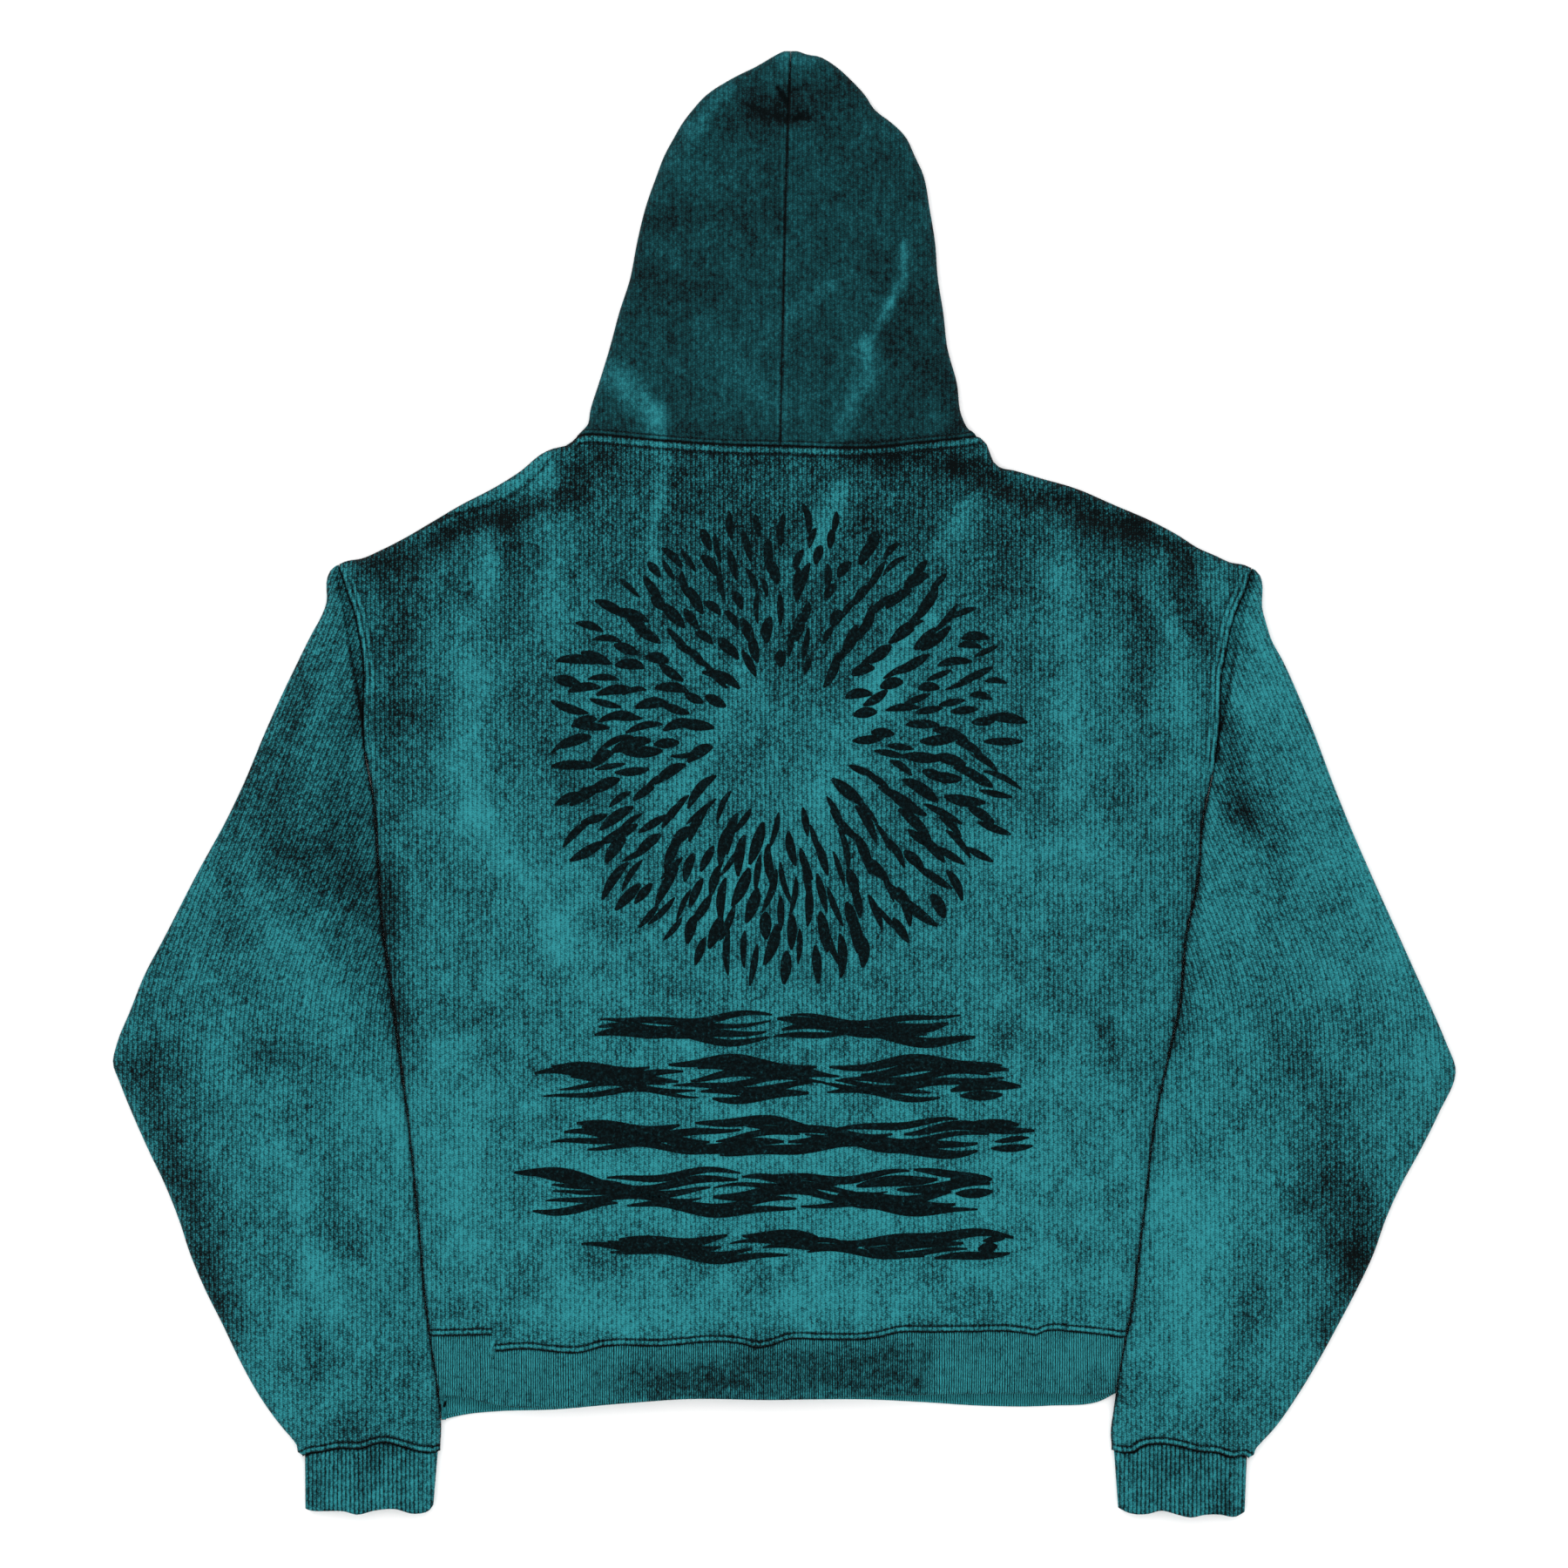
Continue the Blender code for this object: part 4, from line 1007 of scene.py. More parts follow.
def build_waistband(material):
    """The rib at the hem. The lower layer shows past the upper one at the left."""
    top = [RIB_LINE.points[0], RIB_LINE.points[-1]]
    top_x = [body_side_x(side, corner.y) for side, corner in zip((LEFT, RIGHT), top)]
    width, length = 0.505, 0.050

    def place(across, down, end_line):
        start_x = mix(top_x[0], top_x[1], across)
        end_x = mix(end_line.points[0].x, end_line.points[-1].x, across)
        start_y, end_y = RIB_LINE.read(start_x) - SEAM_GAP, end_line.read(end_x)
        if end_line is UPPER_HEM_LINE:
            corner = max(1.0 - min(across, 1.0 - across) * width / 0.003, 0.0)
            end_y = mix(end_y, LOWER_HEM_LINE.read(end_x), corner)
        stepped = 1.0 - smooth_step(down / 0.25)
        y = mix(level_rib(start_x), end_y, down) + (start_y - level_rib(start_x)) * stepped
        side_y = [mix(top[i].y, LOWER_HEM_LINE.points[-i].y, down) for i in (0, 1)]
        sides = [body_side_x(side, level) for side, level in zip((LEFT, RIGHT), side_y)]
        x = mix(sides[0], sides[1], across)
        distance = min(fold_distance(x, y, BODY_FOLDS), across * width, (1.0 - across) * width)
        return x, y, distance

    def upper(across, down):
        return place(across, down, UPPER_HEM_LINE)

    def lower(across, down):
        return place(across, down, LOWER_HEM_LINE)

    columns = shares(width, HEM_RIB / 6.0, FOLD_LINES, FOLD_LINES)
    step_share = (HEM_STEP_X - top_x[0]) / (top_x[1] - top_x[0])
    beside_step = [step_share + offset * MM / width for offset in STEP_LINES]
    columns = sorted([*(c for c in columns if not beside_step[0] < c < beside_step[-1]), *beside_step])
    rows = shares(length, 0.0035, (0, 0.5, 1.1, 2, 3.5), (0, 0.3, 0.8, 1.4, 2.2, 3.6))
    return build_rib(
        "hem_waistband", upper, lower, HEM_RIB, (columns, width), (rows, length), HEM_END_Y, 0.0034, material, 0.0011,
        step_share,
    )


def build_cuff(side, material):
    """The rib at the end of a sleeve."""
    hand = "left" if side == LEFT else "right"
    width, length = 0.095, 0.042
    middle = (CUFF_END[side][0][0] + CUFF_END[side][-1][0]) / 2.0
    start = Line([(middle + (x - middle) * 0.965, y - SEAM_GAP / MM) for x, y in SLEEVE_END[side]])
    end = Line(CUFF_END[side])

    def place(across, down):
        x, y = mix(start.at(across), end.at(across), down)
        return x, y, min(across, 1.0 - across) * width

    columns = shares(width, CUFF_RIB / 6.0, FOLD_LINES, FOLD_LINES)
    rows = shares(length, 0.0035, (0, 0.5, 1.1, 2, 3.5), (0, 0.3, 0.8, 1.4, 2.2, 3.6))
    return build_rib(
        f"{hand}_cuff", place, place, CUFF_RIB, (columns, width), (rows, length), CUFF_END_Y, 0.0032, material, 0.0009,
    )


def build_hood_half(side, material):
    """Half of the hood: from the centre seam over to the folded edge, then under to the face opening."""
    hand = "left" if side == LEFT else "right"
    over = shares(0.120, 0.0040, CENTRE_LINES, FOLD_LINES)
    under = shares(0.080, 0.0080, UNDER_LINES, (0, 0.5, 1.2, 2.5, 5))[1:]
    rows = shares(0.320, 0.0040, (0, 1.5, 3.5, 6), SEAM_LINES)
    seam_foot = (BACK_SEAM[0][0], BACK_SEAM[0][1])
    inner = [point for point in NECK_SEAM if side * point[0] > 8]
    neck = Line([seam_foot, *(inner if side == RIGHT else inner[::-1])])
    crown, edge = Line(HOOD_EDGE[side][:2]), Line(HOOD_EDGE[side][1:])
    upper = patch(crown, neck, CENTRE_LINE, edge, over, rows)
    face = Line([(side * x, y) for x, y in reversed(FACE_OPENING)])
    corner = NECK_CORNER[side]
    dip = [(corner[0] * share, mix(NECKLINE_CENTRE_Y / MM, corner[1], share ** NECKLINE_POWER) + 1.4)
           for share in (0.9, 0.75, 0.6, 0.45, 0.3, 0.15)]
    neckline = Line([corner, *dip, (side * 4, FACE_OPENING[0][1])])
    top = Line([HOOD_EDGE[side][1], (side * 4, FACE_OPENING[-1][1])])
    lower = patch(top, neckline, edge, face, under, rows)
    spots = []
    for over_points, under_points, down in zip(upper, lower, rows):
        row = []
        for (x, y), across in zip(over_points, over):
            distance = fold_distance(x, y, (OUTER_LINE[LEFT], OUTER_LINE[RIGHT]))
            seam_x = CENTRE_LINE.read(y, known=1) + side * CENTRE_GAP / 2.0
            x = side * max(side * x, side * seam_x)
            # The neck seam and the centre seam get their painted shade and light from their profiles, and the crown
            # gets its painted crease shade.
            lift, dark = profile(HOOD_NECK_PROFILE, NECK_LINE.distance(x, y)) if y < 0.275 else (0.0, 0.0)
            ridge, shade = profile(CENTRE_PROFILE, abs(x - seam_x))
            fade = smooth_step(distance / 0.004)
            pinch, pinch_shade = crown_creases(x, y)
            z = upper_face(x, y, distance, HEM_END_Y) + (lift + ridge + pinch) * fade
            row.append(Spot(x, y, max(z, RIM_HEIGHT), (x, y), dye_and_shade_at(x, y), dark + shade * fade + pinch_shade))
        for (x, y), across in zip(under_points, under):
            distance = min(fold_distance(x, y, (OUTER_LINE[LEFT], OUTER_LINE[RIGHT])), across * 0.08)
            x = side * max(side * x, SEAM_GAP / 2.0)
            z = underside_height(distance)
            row.append(Spot(x, y, z, (-x, y), mix(0.42, dye_and_shade_at(x, y), 0.5)))
        spots.append(row)
    return make_cloth(f"{hand}_hood_half", spots[::-1], 0.0032, material)


# ---------------------------------------------------------------------------------------------------------
# Sewing and print
# ---------------------------------------------------------------------------------------------------------

def surface_of(*pieces):
    """The outer faces of finished pieces, to set thread and ink on."""
    places, faces = [], []
    for piece in pieces:
        first = len(places)
        places += [vertex.co.copy() for vertex in piece.data.vertices]
        faces += [[first + index for index in face.vertices] for face in piece.data.polygons]
    return BVHTree.FromPolygons(places, faces)


def set_on(surface, x, y, lift, from_above=True):
    """The point of a surface above or below a place, lifted off it."""
    start, way = (0.2, -1.0) if from_above else (-0.2, 1.0)
    hit, _, _, _ = surface.ray_cast(Vector((x, y, start)), Vector((0.0, 0.0, way)))
    if hit is None:
        return None
    return hit - Vector((0.0, 0.0, way)) * lift


def beside(line, distance, start=0.0, end=1.0):
    """Points that run beside a line at a distance in millimetres, to its left where that is positive."""
    run = []
    steps = max(int(line.length * (end - start) / 0.002), 2)
    for step in range(steps + 1):
        share = mix(start, end, step / steps)
        point, ahead, behind = line.at(share), line.at(min(share + 0.004, 1.0)), line.at(max(share - 0.004, 0.0))
        way = (ahead - behind).normalized()
        run.append(point + Vector((-way.y, way.x)) * distance * MM)
    return run


def along_rib(start_x, end_x, rise):
    """Points above the hem's rib, from one x to another, at a rise in millimetres over its edge."""
    steps = max(int((end_x - start_x) / 0.002), 2)
    places = [mix(start_x, end_x, step / steps) for step in range(steps + 1)]
    return [Vector((x, RIB_LINE.read(x) + rise * MM)) for x in places]


def sew_row(bm, run, surface, length, gap, from_above=True):
    """Set a row of short threads along a run of points."""
    walked = 0.0
    next_stitch = gap
    for start, end in zip(run, run[1:]):
        span = (end - start).length
        while next_stitch <= walked + span and span > 0:
            place = start.lerp(end, (next_stitch - walked) / span)
            middle = set_on(surface, place.x, place.y, 0.00015, from_above)
            next_stitch += length + gap
            if middle is None:
                continue
            turn = Matrix.Rotation(math.atan2(end.y - start.y, end.x - start.x), 4, "Z")
            size = Matrix.Diagonal((length / 2.0, 0.00032, 0.00026, 1.0))
            bmesh.ops.create_icosphere(bm, subdivisions=1, radius=1.0, matrix=Matrix.Translation(middle) @ turn @ size)
        walked += span


def finish_sewing(name, bm, material):
    """Make an object of a bmesh whose parts are already in place."""
    for face in bm.faces:
        face.smooth = True
    mesh = bpy.data.meshes.new(name)
    bm.to_mesh(mesh)
    bm.free()
    mesh.materials.append(material)
    piece = bpy.data.objects.new(name, mesh)
    bpy.context.scene.collection.objects.link(piece)
    return piece


def brush_stroke(bm, surface, run, half_width, lift):
    """Lay a tapered stroke of ink along a run of points."""
    steps = len(run) - 1
    grid = bmesh.ops.create_grid(bm, x_segments=2, y_segments=steps, size=1.0)["verts"]
    placed = []
    for index, point in enumerate(run):
        ahead, behind = run[min(index + 1, steps)], run[max(index - 1, 0)]
        way = (ahead - behind).normalized()
        taper = math.sin(math.pi * (0.04 + 0.92 * index / steps)) ** 0.7
        for offset in (1.0, 0.0, -1.0):
            x, y = point + Vector((-way.y, way.x)) * offset * half_width * taper
            placed.append(set_on(surface, x, y, lift))
    if None in placed:
        bmesh.ops.delete(bm, geom=grid, context="VERTS")
        return
    for vertex, place in zip(grid, placed):
        vertex.co = place


def ring_of_dashes(bm, surface, chance, centre, radii, lift):
    """A wreath of short drooping brush dashes on rings round a centre."""
    for ring, radius in enumerate(radii):
        count = round(2.0 * math.pi * radius / 0.021)
        for index in range(count):
            angle = 2.0 * math.pi * (index + 0.5 * (ring % 2) + chance.uniform(-0.22, 0.22)) / count
            length = chance.uniform(0.016, 0.030)
            sway = chance.uniform(-0.35, 0.35)
            out = Vector((math.cos(angle), math.sin(angle)))
            start = centre + out * (radius + chance.uniform(-0.004, 0.004))
            run = []
            for step in range(7):
                t = step / 6.0
                drift = Vector((-out.y, out.x)) * sway * length * t * t
                run.append(start + out * length * (t - 0.5) + drift + Vector((0.0, -0.004 * t * t)))
            brush_stroke(bm, surface, run, chance.uniform(0.0020, 0.0046), lift)


def brush_band(bm, surface, chance, middle_y, reach, height, count, lift):
    """A torn horizontal band of long brush strokes."""
    for index in range(count):
        level = middle_y + height * (index / max(count - 1, 1) - 0.5)
        start = reach[0] + chance.uniform(0.0, 0.035)
        while start < reach[1] - 0.03:
            length = chance.uniform(0.05, 0.14)
            end = min(start + length, reach[1] + chance.uniform(-0.02, 0.0))
            steps = max(round((end - start) / 0.006), 4)
            phase = chance.uniform(0.0, 6.0)
            run = []
            for step in range(steps + 1):
                x = mix(start, end, step / steps)
                wave = 0.0030 * math.sin(x * 42.0 + index * 0.7) + 0.0014 * math.sin(x * 96.0 + phase)
                run.append(Vector((x, level + wave)))
            brush_stroke(bm, surface, run, chance.uniform(0.0022, 0.0042), lift)
            start = end + chance.uniform(0.002, 0.016)


# ---------------------------------------------------------------------------------------------------------
# Finishes
# ---------------------------------------------------------------------------------------------------------

def to_linear(hex_colour):
    """A colour given as sRGB hex, in the linear values that shaders work in."""
    channels = [int(hex_colour[index:index + 2], 16) / 255.0 for index in (1, 3, 5)]
    return (*[c / 12.92 if c <= 0.04045 else ((c + 0.055) / 1.055) ** 2.4 for c in channels], 1.0)


def add_node(tree, kind, sockets=(), **settings):
    """Add a shader node with its settings, and set or link its sockets."""
    node = tree.nodes.new(kind)
    for name, value in settings.items():
        setattr(node, name, value)
    for key, value in dict(sockets).items():
        if isinstance(value, bpy.types.NodeSocket):
            tree.links.new(value, node.inputs[key])
        else:
            node.inputs[key].default_value = value
    return node


# Washed dye from its darkest to its lightest: place on the ramp and colour
DYE = [
    (0.04, "#000506"), (0.125, "#041013"), (0.34, "#083034"), (0.50, "#12484E"), (0.62, "#1A5C62"),
    (0.74, "#216A71"), (0.88, "#25767C"), (1.10, "#2B8289"),
]
RAMP_SPAN = 1.2


def dyed_cloth(name, wale, course, groove_share, loop_share, mottle_share, streak_share, cloud_share, bump):
    """Knitted cotton whose dye was washed out unevenly. The knit follows the piece's own UV map.

    Each wale is two columns of leaning loops, with painted shade in the groove between them. Every loop has its own
    tone, and is lighter at its middle than at its rim.
    """
    material = bpy.data.materials.new(name)
    material.use_nodes = True
    tree = material.node_tree
    tree.nodes.clear()
    place = add_node(tree, "ShaderNodeTexCoord").outputs["Object"]
    knit_place = add_node(tree, "ShaderNodeUVMap", uv_map="Knit").outputs["UV"]
    wander = add_node(tree, "ShaderNodeTexNoise", {"Vector": place, "Scale": 260.0, "Detail": 1.0}).outputs["Color"]
    centred = add_node(tree, "ShaderNodeVectorMath", {0: wander, 1: (0.5, 0.5, 0.5)}, operation="SUBTRACT").outputs[0]
    pushed = add_node(
        tree, "ShaderNodeVectorMath", {0: centred, 1: (0.34 * wale, 0.44 * wale, 0.0), 2: knit_place},
        operation="MULTIPLY_ADD",
    ).outputs[0]
    split = add_node(tree, "ShaderNodeSeparateXYZ", {0: pushed})
    across = add_node(tree, "ShaderNodeMath", {0: split.outputs[0], 1: wale}, operation="DIVIDE").outputs[0]
    along = add_node(tree, "ShaderNodeMath", {0: split.outputs[1], 1: course}, operation="DIVIDE").outputs[0]
    columns = add_node(tree, "ShaderNodeMath", {0: across, 1: 2.0}, operation="MULTIPLY").outputs[0]
    legs = add_node(tree, "ShaderNodeMath", {0: across, 1: 0.5}, operation="PINGPONG").outputs[0]
    from_groove = add_node(
        tree, "ShaderNodeMapRange", {"Value": legs, "From Min": 0.04, "From Max": 0.24}, interpolation_type="SMOOTHSTEP",
    ).outputs[0]
    lean = add_node(tree, "ShaderNodeMath", {0: legs, 1: 1.1, 2: along}, operation="MULTIPLY_ADD").outputs[0]
    loop_place = add_node(tree, "ShaderNodeCombineXYZ", {0: columns, 1: lean}).outputs[0]
    loops = add_node(
        tree, "ShaderNodeTexVoronoi", {"Vector": loop_place, "Scale": 1.0, "Randomness": 0.4},
        voronoi_dimensions="2D", feature="F1",
    )
    loop_shade = add_node(tree, "ShaderNodeSeparateXYZ", {0: loops.outputs["Color"]}).outputs[0]
    # Each loop is lighter at its middle than at its rim, following its relief.
    roundness = add_node(
        tree, "ShaderNodeMath", {0: loops.outputs["Distance"], 1: -loop_share, 2: 0.42 * loop_share},
        operation="MULTIPLY_ADD",
    ).outputs[0]
    loop_value = add_node(
        tree, "ShaderNodeMath", {0: loop_shade, 1: 0.45 * loop_share, 2: -0.22 * loop_share}, operation="MULTIPLY_ADD",
    ).outputs[0]
    # Painted shade in the groove between a wale's two columns.
    whole_groove = add_node(
        tree, "ShaderNodeMath", {0: from_groove, 1: groove_share, 2: -0.72 * groove_share}, operation="MULTIPLY_ADD",
    ).outputs[0]
    breaks = add_node(
        tree, "ShaderNodeTexNoise", {"Vector": place, "Scale": 330.0, "Detail": 2.0, "Roughness": 0.7},
    ).outputs["Fac"]
    kept = add_node(
        tree, "ShaderNodeMapRange", {"Value": breaks, "From Min": 0.34, "From Max": 0.66, "To Min": 0.4, "To Max": 1.6},
    ).outputs[0]
    wale_value = add_node(tree, "ShaderNodeMath", {0: whole_groove, 1: kept}, operation="MULTIPLY").outputs[0]
    stretched = add_node(
        tree, "ShaderNodeVectorMath", {0: knit_place, 1: (1.0, 0.16, 1.0)}, operation="MULTIPLY",
    ).outputs[0]
    streaks = add_node(
        tree, "ShaderNodeTexNoise", {"Vector": stretched, "Scale": 150.0, "Detail": 3.0, "Roughness": 0.6},
    ).outputs["Fac"]
    streak_value = add_node(
        tree, "ShaderNodeMath", {0: streaks, 1: streak_share, 2: -0.5 * streak_share}, operation="MULTIPLY_ADD",
    ).outputs[0]
    mottle = add_node(
        tree, "ShaderNodeTexNoise", {"Vector": place, "Scale": 210.0, "Detail": 4.0, "Roughness": 0.72},
    ).outputs["Fac"]
    mottle_value = add_node(
        tree, "ShaderNodeMath", {0: mottle, 1: mottle_share, 2: -0.5 * mottle_share}, operation="MULTIPLY_ADD",
    ).outputs[0]
    clouds = add_node(
        tree, "ShaderNodeTexNoise", {"Vector": place, "Scale": 30.0, "Detail": 4.0, "Roughness": 0.66},
    ).outputs["Fac"]
    cloud_value = add_node(
        tree, "ShaderNodeMath", {0: clouds, 1: cloud_share, 2: -0.5 * cloud_share}, operation="MULTIPLY_ADD",
    ).outputs[0]
    # Both attributes carry painted shade and light besides dye and wear: shade along the shoulder folds and beside the
    # sleeves, and shade and light at seams, creases, folded edges and rib grooves.
    wash_and_shade = add_node(tree, "ShaderNodeAttribute", attribute_name="wash_and_shade").outputs["Fac"]
    wear_and_painted_shade = add_node(tree, "ShaderNodeAttribute", attribute_name="wear_and_painted_shade").outputs["Fac"]
    total = wash_and_shade
    for part in (wear_and_painted_shade, cloud_value, streak_value, mottle_value, wale_value, loop_value, roundness):
        total = add_node(tree, "ShaderNodeMath", {0: total, 1: part}, operation="ADD").outputs[0]
    scaled = add_node(tree, "ShaderNodeMath", {0: total, 1: RAMP_SPAN}, operation="DIVIDE").outputs[0]
    ramp = add_node(tree, "ShaderNodeValToRGB", {0: scaled})
    stops = ramp.color_ramp.elements
    for index, (level, colour) in enumerate(DYE):
        stop = stops[index] if index < 2 else stops.new(level / RAMP_SPAN)
        stop.position = level / RAMP_SPAN
        stop.color = to_linear(colour)
    relief = wale_value
    for part in (roundness, mottle_value):
        relief = add_node(tree, "ShaderNodeMath", {0: relief, 1: part}, operation="ADD").outputs[0]
    bumped = add_node(tree, "ShaderNodeBump", {"Strength": 1.0, "Distance": bump, "Height": relief})
    shader = add_node(
        tree, "ShaderNodeBsdfPrincipled",
        {"Base Color": ramp.outputs["Color"], "Normal": bumped.outputs["Normal"], "Roughness": 0.95,
         "Specular IOR Level": 0.06, "Sheen Weight": 0.01, "Sheen Roughness": 0.6},
    )
    add_node(tree, "ShaderNodeOutputMaterial", {"Surface": shader.outputs[0]})
    return material


def plain_thread(name, colour):
    """Spun polyester thread: smooth and a little glossier than the cloth."""
    material = bpy.data.materials.new(name)
    material.use_nodes = True
    tree = material.node_tree
    tree.nodes.clear()
    place = add_node(tree, "ShaderNodeTexCoord").outputs["Object"]
    twist = add_node(tree, "ShaderNodeTexNoise", {"Vector": place, "Scale": 900.0, "Detail": 2.0}).outputs["Fac"]
    shade = add_node(tree, "ShaderNodeMix", {0: twist, 6: to_linear("#02090B"), 7: colour}, data_type="RGBA")
    shader = add_node(
        tree, "ShaderNodeBsdfPrincipled",
        {"Base Color": shade.outputs[2], "Roughness": 0.7, "Specular IOR Level": 0.15},
    )
    add_node(tree, "ShaderNodeOutputMaterial", {"Surface": shader.outputs[0]})
    return material


def soft_ink(name):
    """Screen-print ink that was washed with the cloth: dark, matt and broken by the knit under it."""
    material = bpy.data.materials.new(name)
    material.use_nodes = True
    tree = material.node_tree
    tree.nodes.clear()
    place = add_node(tree, "ShaderNodeTexCoord").outputs["Object"]
    worn = add_node(
        tree, "ShaderNodeTexNoise", {"Vector": place, "Scale": 430.0, "Detail": 3.0, "Roughness": 0.8},
    ).outputs["Fac"]
    ramp = add_node(tree, "ShaderNodeValToRGB", {0: worn})
    stops = ramp.color_ramp.elements
    for index, (level, colour) in enumerate([(0.46, "#000506"), (0.62, "#03171A"), (0.74, "#134349")]):
        stop = stops[index] if index < 2 else stops.new(level)
        stop.position = level
        stop.color = to_linear(colour)
    bumped = add_node(tree, "ShaderNodeBump", {"Strength": 1.0, "Distance": 0.0002, "Height": worn})
    shader = add_node(
        tree, "ShaderNodeBsdfPrincipled",
        {"Base Color": ramp.outputs["Color"], "Normal": bumped.outputs["Normal"], "Roughness": 0.9,
         "Specular IOR Level": 0.06},
    )
    add_node(tree, "ShaderNodeOutputMaterial", {"Surface": shader.outputs[0]})
    return material


def floor_paint(name):
    """Smooth matt white paint, faintly uneven."""
    material = bpy.data.materials.new(name)
    material.use_nodes = True
    tree = material.node_tree
    tree.nodes.clear()
    place = add_node(tree, "ShaderNodeTexCoord").outputs["Object"]
    mottle = add_node(tree, "ShaderNodeTexNoise", {"Vector": place, "Scale": 3.0}).outputs["Fac"]
    shade = add_node(tree, "ShaderNodeMix", {0: mottle, 6: to_linear("#F4F4F4"), 7: to_linear("#F7F7F7")}, data_type="RGBA")
    shader = add_node(tree, "ShaderNodeBsdfPrincipled", {"Base Color": shade.outputs[2], "Roughness": 0.9})
    add_node(tree, "ShaderNodeOutputMaterial", {"Surface": shader.outputs[0]})
    return material


def finish_named(name, maker, *details):
    """The material of that name, made on first use."""
    return bpy.data.materials.get(name) or maker(name, *details)


def washed_fleece():
    # Brushed-back cotton fleece, knitted in plain wales and acid washed: mottled, with grainy light wales
    return finish_named("acid_washed_fleece", dyed_cloth, 0.0034, 0.0017, 0.27, 0.84, 0.80, 0.36, 0.62, 0.0010)


def hood_fleece():
    # The same fleece, doubled: it took more dye, so that it is darker and its wales show less
    return finish_named("doubled_hood_fleece", dyed_cloth, 0.0034, 0.0016, 0.08, 0.32, 0.62, 0.24, 0.34, 0.0009)


def hem_rib():
    # Tight cotton rib of the hem: narrow grooves painted dark with shade, with another between every two that are
    # really folded
    return finish_named("washed_hem_rib", dyed_cloth, 0.0017, 0.0013, 1.10, 0.60, 1.05, 0.40, 0.46, 0.0007)


def cuff_rib():
    # The cuffs' rib is drawn in less, so that its ridges are round and broad and its grooves are soft
    return finish_named("washed_cuff_rib", dyed_cloth, CUFF_RIB, 0.0016, 0.34, 0.60, 1.00, 0.44, 0.80, 0.0009)


# ---------------------------------------------------------------------------------------------------------
# Add-on
# ---------------------------------------------------------------------------------------------------------

def settle(piece, nodes=()):
    """Attach a finished piece to the garment's body and hide the parts of the model that it replaces."""
    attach(piece, BODY)
    if nodes:
        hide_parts(*nodes)


class SWEATSHIRT_PG_settings(bpy.types.PropertyGroup):
    """Sizes and colours that a user would change."""

    stitch_length: bpy.props.FloatProperty(
        name="Stitch length", description="Length of one stitch of the twin rows", default=0.0022, unit="LENGTH",
    )
    stitch_gap: bpy.props.FloatProperty(
        name="Stitch gap", description="Space between two stitches of a row", default=0.0009, unit="LENGTH",
    )
    thread_colour: bpy.props.FloatVectorProperty(
        name="Thread colour", description="Colour of the sewing thread", default=to_linear("#0B2E33"), size=4,
        subtype="COLOR",
    )
    ink_lift: bpy.props.FloatProperty(
        name="Ink height", description="How far the print stands off the cloth", default=0.00030, unit="LENGTH",
    )


class SWEATSHIRT_OT_back(bpy.types.Operator):
    """Lay the back panel"""

    bl_idname = "sweatshirt.back"
    bl_label = "Back panel"

    def execute(self, context):
        piece = build_back(washed_fleece())
        settle(piece, ["back_body"])
        return {"FINISHED"}


class SWEATSHIRT_OT_front(bpy.types.Operator):
    """Lay the front panel and its pocket"""

    bl_idname = "sweatshirt.front"
    bl_label = "Front panel and pocket"

    def execute(self, context):
        front = build_front(washed_fleece())
        settle(front, ["front_body"])
        pocket = build_pocket(washed_fleece())
        settle(pocket, ["pocket"])
        return {"FINISHED"}


class SWEATSHIRT_OT_hood(bpy.types.Operator):
    """Lay both halves of the hood"""

    bl_idname = "sweatshirt.hood"
    bl_label = "Hood"

    def execute(self, context):
        for side, hand in ((LEFT, "left"), (RIGHT, "right")):
            piece = build_hood_half(side, hood_fleece())
            settle(piece, [f"hood_{hand}"])
        return {"FINISHED"}


class SWEATSHIRT_OT_sleeves(bpy.types.Operator):
    """Lay both sleeves beside the body"""

    bl_idname = "sweatshirt.sleeves"
    bl_label = "Sleeves"

    def execute(self, context):
        for side, hand in ((LEFT, "left"), (RIGHT, "right")):
            piece = build_sleeve(side, washed_fleece())
            settle(piece, [f"sleeve_{hand}", f"forearm_{hand}"])
        return {"FINISHED"}


class SWEATSHIRT_OT_ribs(bpy.types.Operator):
    """Lay the waistband and both cuffs"""

    bl_idname = "sweatshirt.ribs"
    bl_label = "Waistband and cuffs"

    def execute(self, context):
        waistband = build_waistband(hem_rib())
        settle(waistband, ["waistband"])
        for side, hand in ((LEFT, "left"), (RIGHT, "right")):
            cuff = build_cuff(side, cuff_rib())
            settle(cuff, [f"cuff_{hand}"])
        return {"FINISHED"}


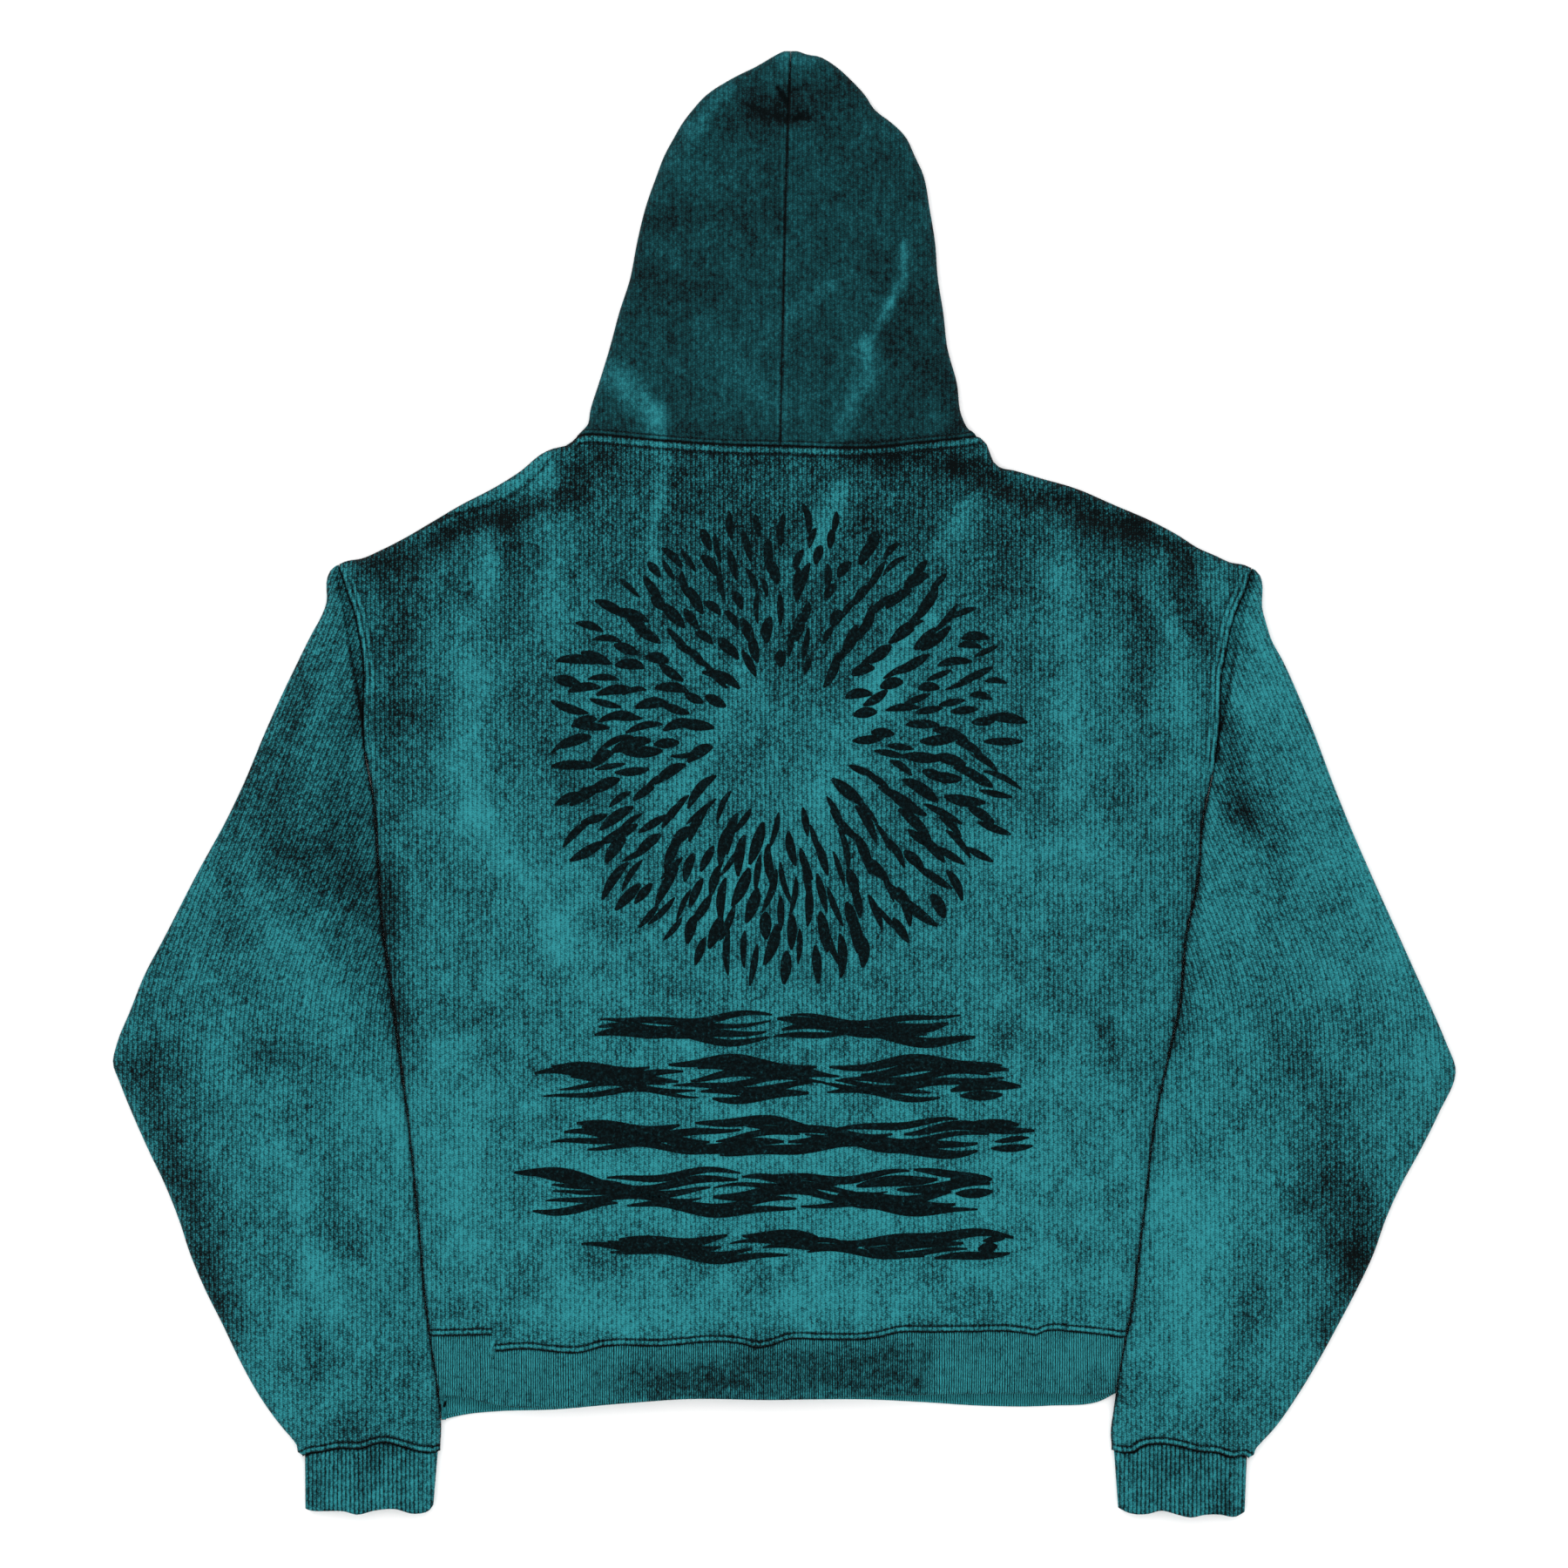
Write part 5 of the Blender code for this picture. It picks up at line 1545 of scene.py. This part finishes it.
class SWEATSHIRT_OT_sewing(bpy.types.Operator):
    """Sew the twin rows along the seams"""

    bl_idname = "sweatshirt.sewing"
    bl_label = "Sewing thread"

    def execute(self, context):
        settings = context.scene.sweatshirt
        length, gap = settings.stitch_length, settings.stitch_gap
        thread = finish_named("spun_sewing_thread", plain_thread, tuple(settings.thread_colour))
        objects = bpy.data.objects
        back = surface_of(objects["back_panel"])
        bm = bmesh.new()
        sew_row(bm, beside(NECK_LINE, -6.1, 0.02, 0.98), back, length * 0.7, gap * 1.6)
        for side in (LEFT, RIGHT):
            sew_row(bm, beside(ARMHOLE_LINE[side], -side * 3.9, 0.07, 0.97), back, length, gap)
            sew_row(bm, beside(ARMHOLE_LINE[side], -side * 8.0, 0.11, 0.95), back, length, gap)
        left_x, right_x = (RIB_LINE.points[end].x for end in (0, -1))
        for start_x, end_x in ((left_x + 0.003, HEM_STEP_X - 0.0015), (HEM_STEP_X + 0.0015, right_x - 0.003)):
            for rise in (RIB_JOIN, 0.6):
                sew_row(bm, along_rib(start_x, end_x, rise), back, length, gap)
        sew_row(bm, SHOULDER_STITCH_LINE.points, back, length, gap)
        settle(finish_sewing("back_seam_thread", bm, thread))
        bm = bmesh.new()
        for side, hand in ((LEFT, "left"), (RIGHT, "right")):
            sleeve = surface_of(objects[f"{hand}_sleeve"])
            edge = FIELDS[side, "cuff edge"]
            for distance in (4.3, 0.6):
                sew_row(bm, beside(edge, side * -distance, 0.05, 0.95), sleeve, length, gap)
        settle(finish_sewing("cuff_seam_thread", bm, thread))
        bm = bmesh.new()
        hood = surface_of(objects["left_hood_half"], objects["right_hood_half"])
        sew_row(bm, beside(NECK_LINE, 3.5, 0.02, 0.98), hood, length, gap)
        settle(finish_sewing("hood_seam_thread", bm, thread))
        return {"FINISHED"}


class SWEATSHIRT_OT_print(bpy.types.Operator):
    """Print a wreath of brush dashes over torn brush bands on the back"""

    bl_idname = "sweatshirt.back_print"
    bl_label = "Back print"

    def execute(self, context):
        lift = context.scene.sweatshirt.ink_lift
        chance = random.Random(11)
        back = surface_of(bpy.data.objects["back_panel"])
        bm = bmesh.new()
        ring_of_dashes(bm, back, chance, Vector((0.0, 0.032)), [0.062 + 0.0125 * step for step in range(9)], lift)
        for middle_y, reach, height, count in (
            (-0.178, (-0.150, 0.140), 0.014, 4), (-0.216, (-0.190, 0.178), 0.022, 6),
            (-0.258, (-0.172, 0.186), 0.018, 5), (-0.298, (-0.198, 0.160), 0.024, 6),
            (-0.338, (-0.150, 0.176), 0.012, 4),
        ):
            brush_band(bm, back, chance, middle_y, reach, height, count, lift)
        piece = finish_sewing("back_brush_print", bm, finish_named("washed_print_ink", soft_ink))
        film = piece.modifiers.new("Ink thickness", "SOLIDIFY")
        film.thickness = 0.00012
        film.offset = 0.0
        settle(piece)
        return {"FINISHED"}


class SWEATSHIRT_OT_stage(bpy.types.Operator):
    """Set the floor, the lights and the camera"""

    bl_idname = "sweatshirt.stage"
    bl_label = "Stage"

    def execute(self, context):
        scene = context.scene
        bm = bmesh.new()
        bmesh.ops.create_grid(bm, x_segments=2, y_segments=2, size=6.0)
        mesh = bpy.data.meshes.new("floor")
        bm.to_mesh(mesh)
        bm.free()
        mesh.materials.append(floor_paint("matt_white_floor"))
        floor = bpy.data.objects.new("floor", mesh)
        scene.collection.objects.link(floor)
        for vertex in mesh.vertices:
            vertex.co.z = -0.0006
        for name, place, size, power in (
            ("overhead_softbox", (0.0, 0.2, 3.2), 5.0, 60.0), ("key_softbox", (-2.1, 1.9, 2.0), 1.4, 24.0),
        ):
            lamp = bpy.data.lights.new(name, "AREA")
            lamp.size = size
            lamp.energy = power
            light = bpy.data.objects.new(name, lamp)
            light.location = place
            light.rotation_euler = Vector(place).to_track_quat("Z", "Y").to_euler()
            light.visible_camera = False
            scene.collection.objects.link(light)
        world = bpy.data.worlds.new("pale_studio")
        world.use_nodes = True
        world.node_tree.nodes["Background"].inputs["Color"].default_value = to_linear("#FBFBFB")
        world.node_tree.nodes["Background"].inputs["Strength"].default_value = 1.18
        scene.world = world
        lens = bpy.data.cameras.new("overhead_camera")
        lens.lens = 187.5
        lens.sensor_width = 36.0
        lens.clip_end = 30.0
        camera = bpy.data.objects.new("overhead_camera", lens)
        camera.location = (0.0, 0.0, 6.0)
        scene.collection.objects.link(camera)
        scene.camera = camera
        scene.view_settings.view_transform = "Standard"
        return {"FINISHED"}


class SWEATSHIRT_PT_panel(bpy.types.Panel):
    """Lists the pieces in the 3D view's sidebar"""

    bl_idname = "SWEATSHIRT_PT_panel"
    bl_label = "Sweatshirt"
    bl_space_type = "VIEW_3D"
    bl_region_type = "UI"
    bl_category = "Sweatshirt"

    def draw(self, context):
        for name in SWEATSHIRT_PG_settings.__annotations__:
            self.layout.prop(context.scene.sweatshirt, name)
        for operator in OPERATORS:
            self.layout.operator(operator.bl_idname)


OPERATORS = (
    SWEATSHIRT_OT_back, SWEATSHIRT_OT_front, SWEATSHIRT_OT_hood, SWEATSHIRT_OT_sleeves, SWEATSHIRT_OT_ribs,
    SWEATSHIRT_OT_sewing, SWEATSHIRT_OT_print, SWEATSHIRT_OT_stage,
)
CLASSES = (SWEATSHIRT_PG_settings, *OPERATORS, SWEATSHIRT_PT_panel)


def register():
    for entry in CLASSES:
        bpy.utils.register_class(entry)
    bpy.types.Scene.sweatshirt = bpy.props.PointerProperty(type=SWEATSHIRT_PG_settings)


def unregister():
    del bpy.types.Scene.sweatshirt
    for entry in reversed(CLASSES):
        bpy.utils.unregister_class(entry)


def main():
    """Register the add-on, then make every piece and the stage."""
    register()
    for operator in OPERATORS:
        group, name = operator.bl_idname.split(".")
        getattr(getattr(bpy.ops, group), name)()


if __name__ == "__main__":
    main()
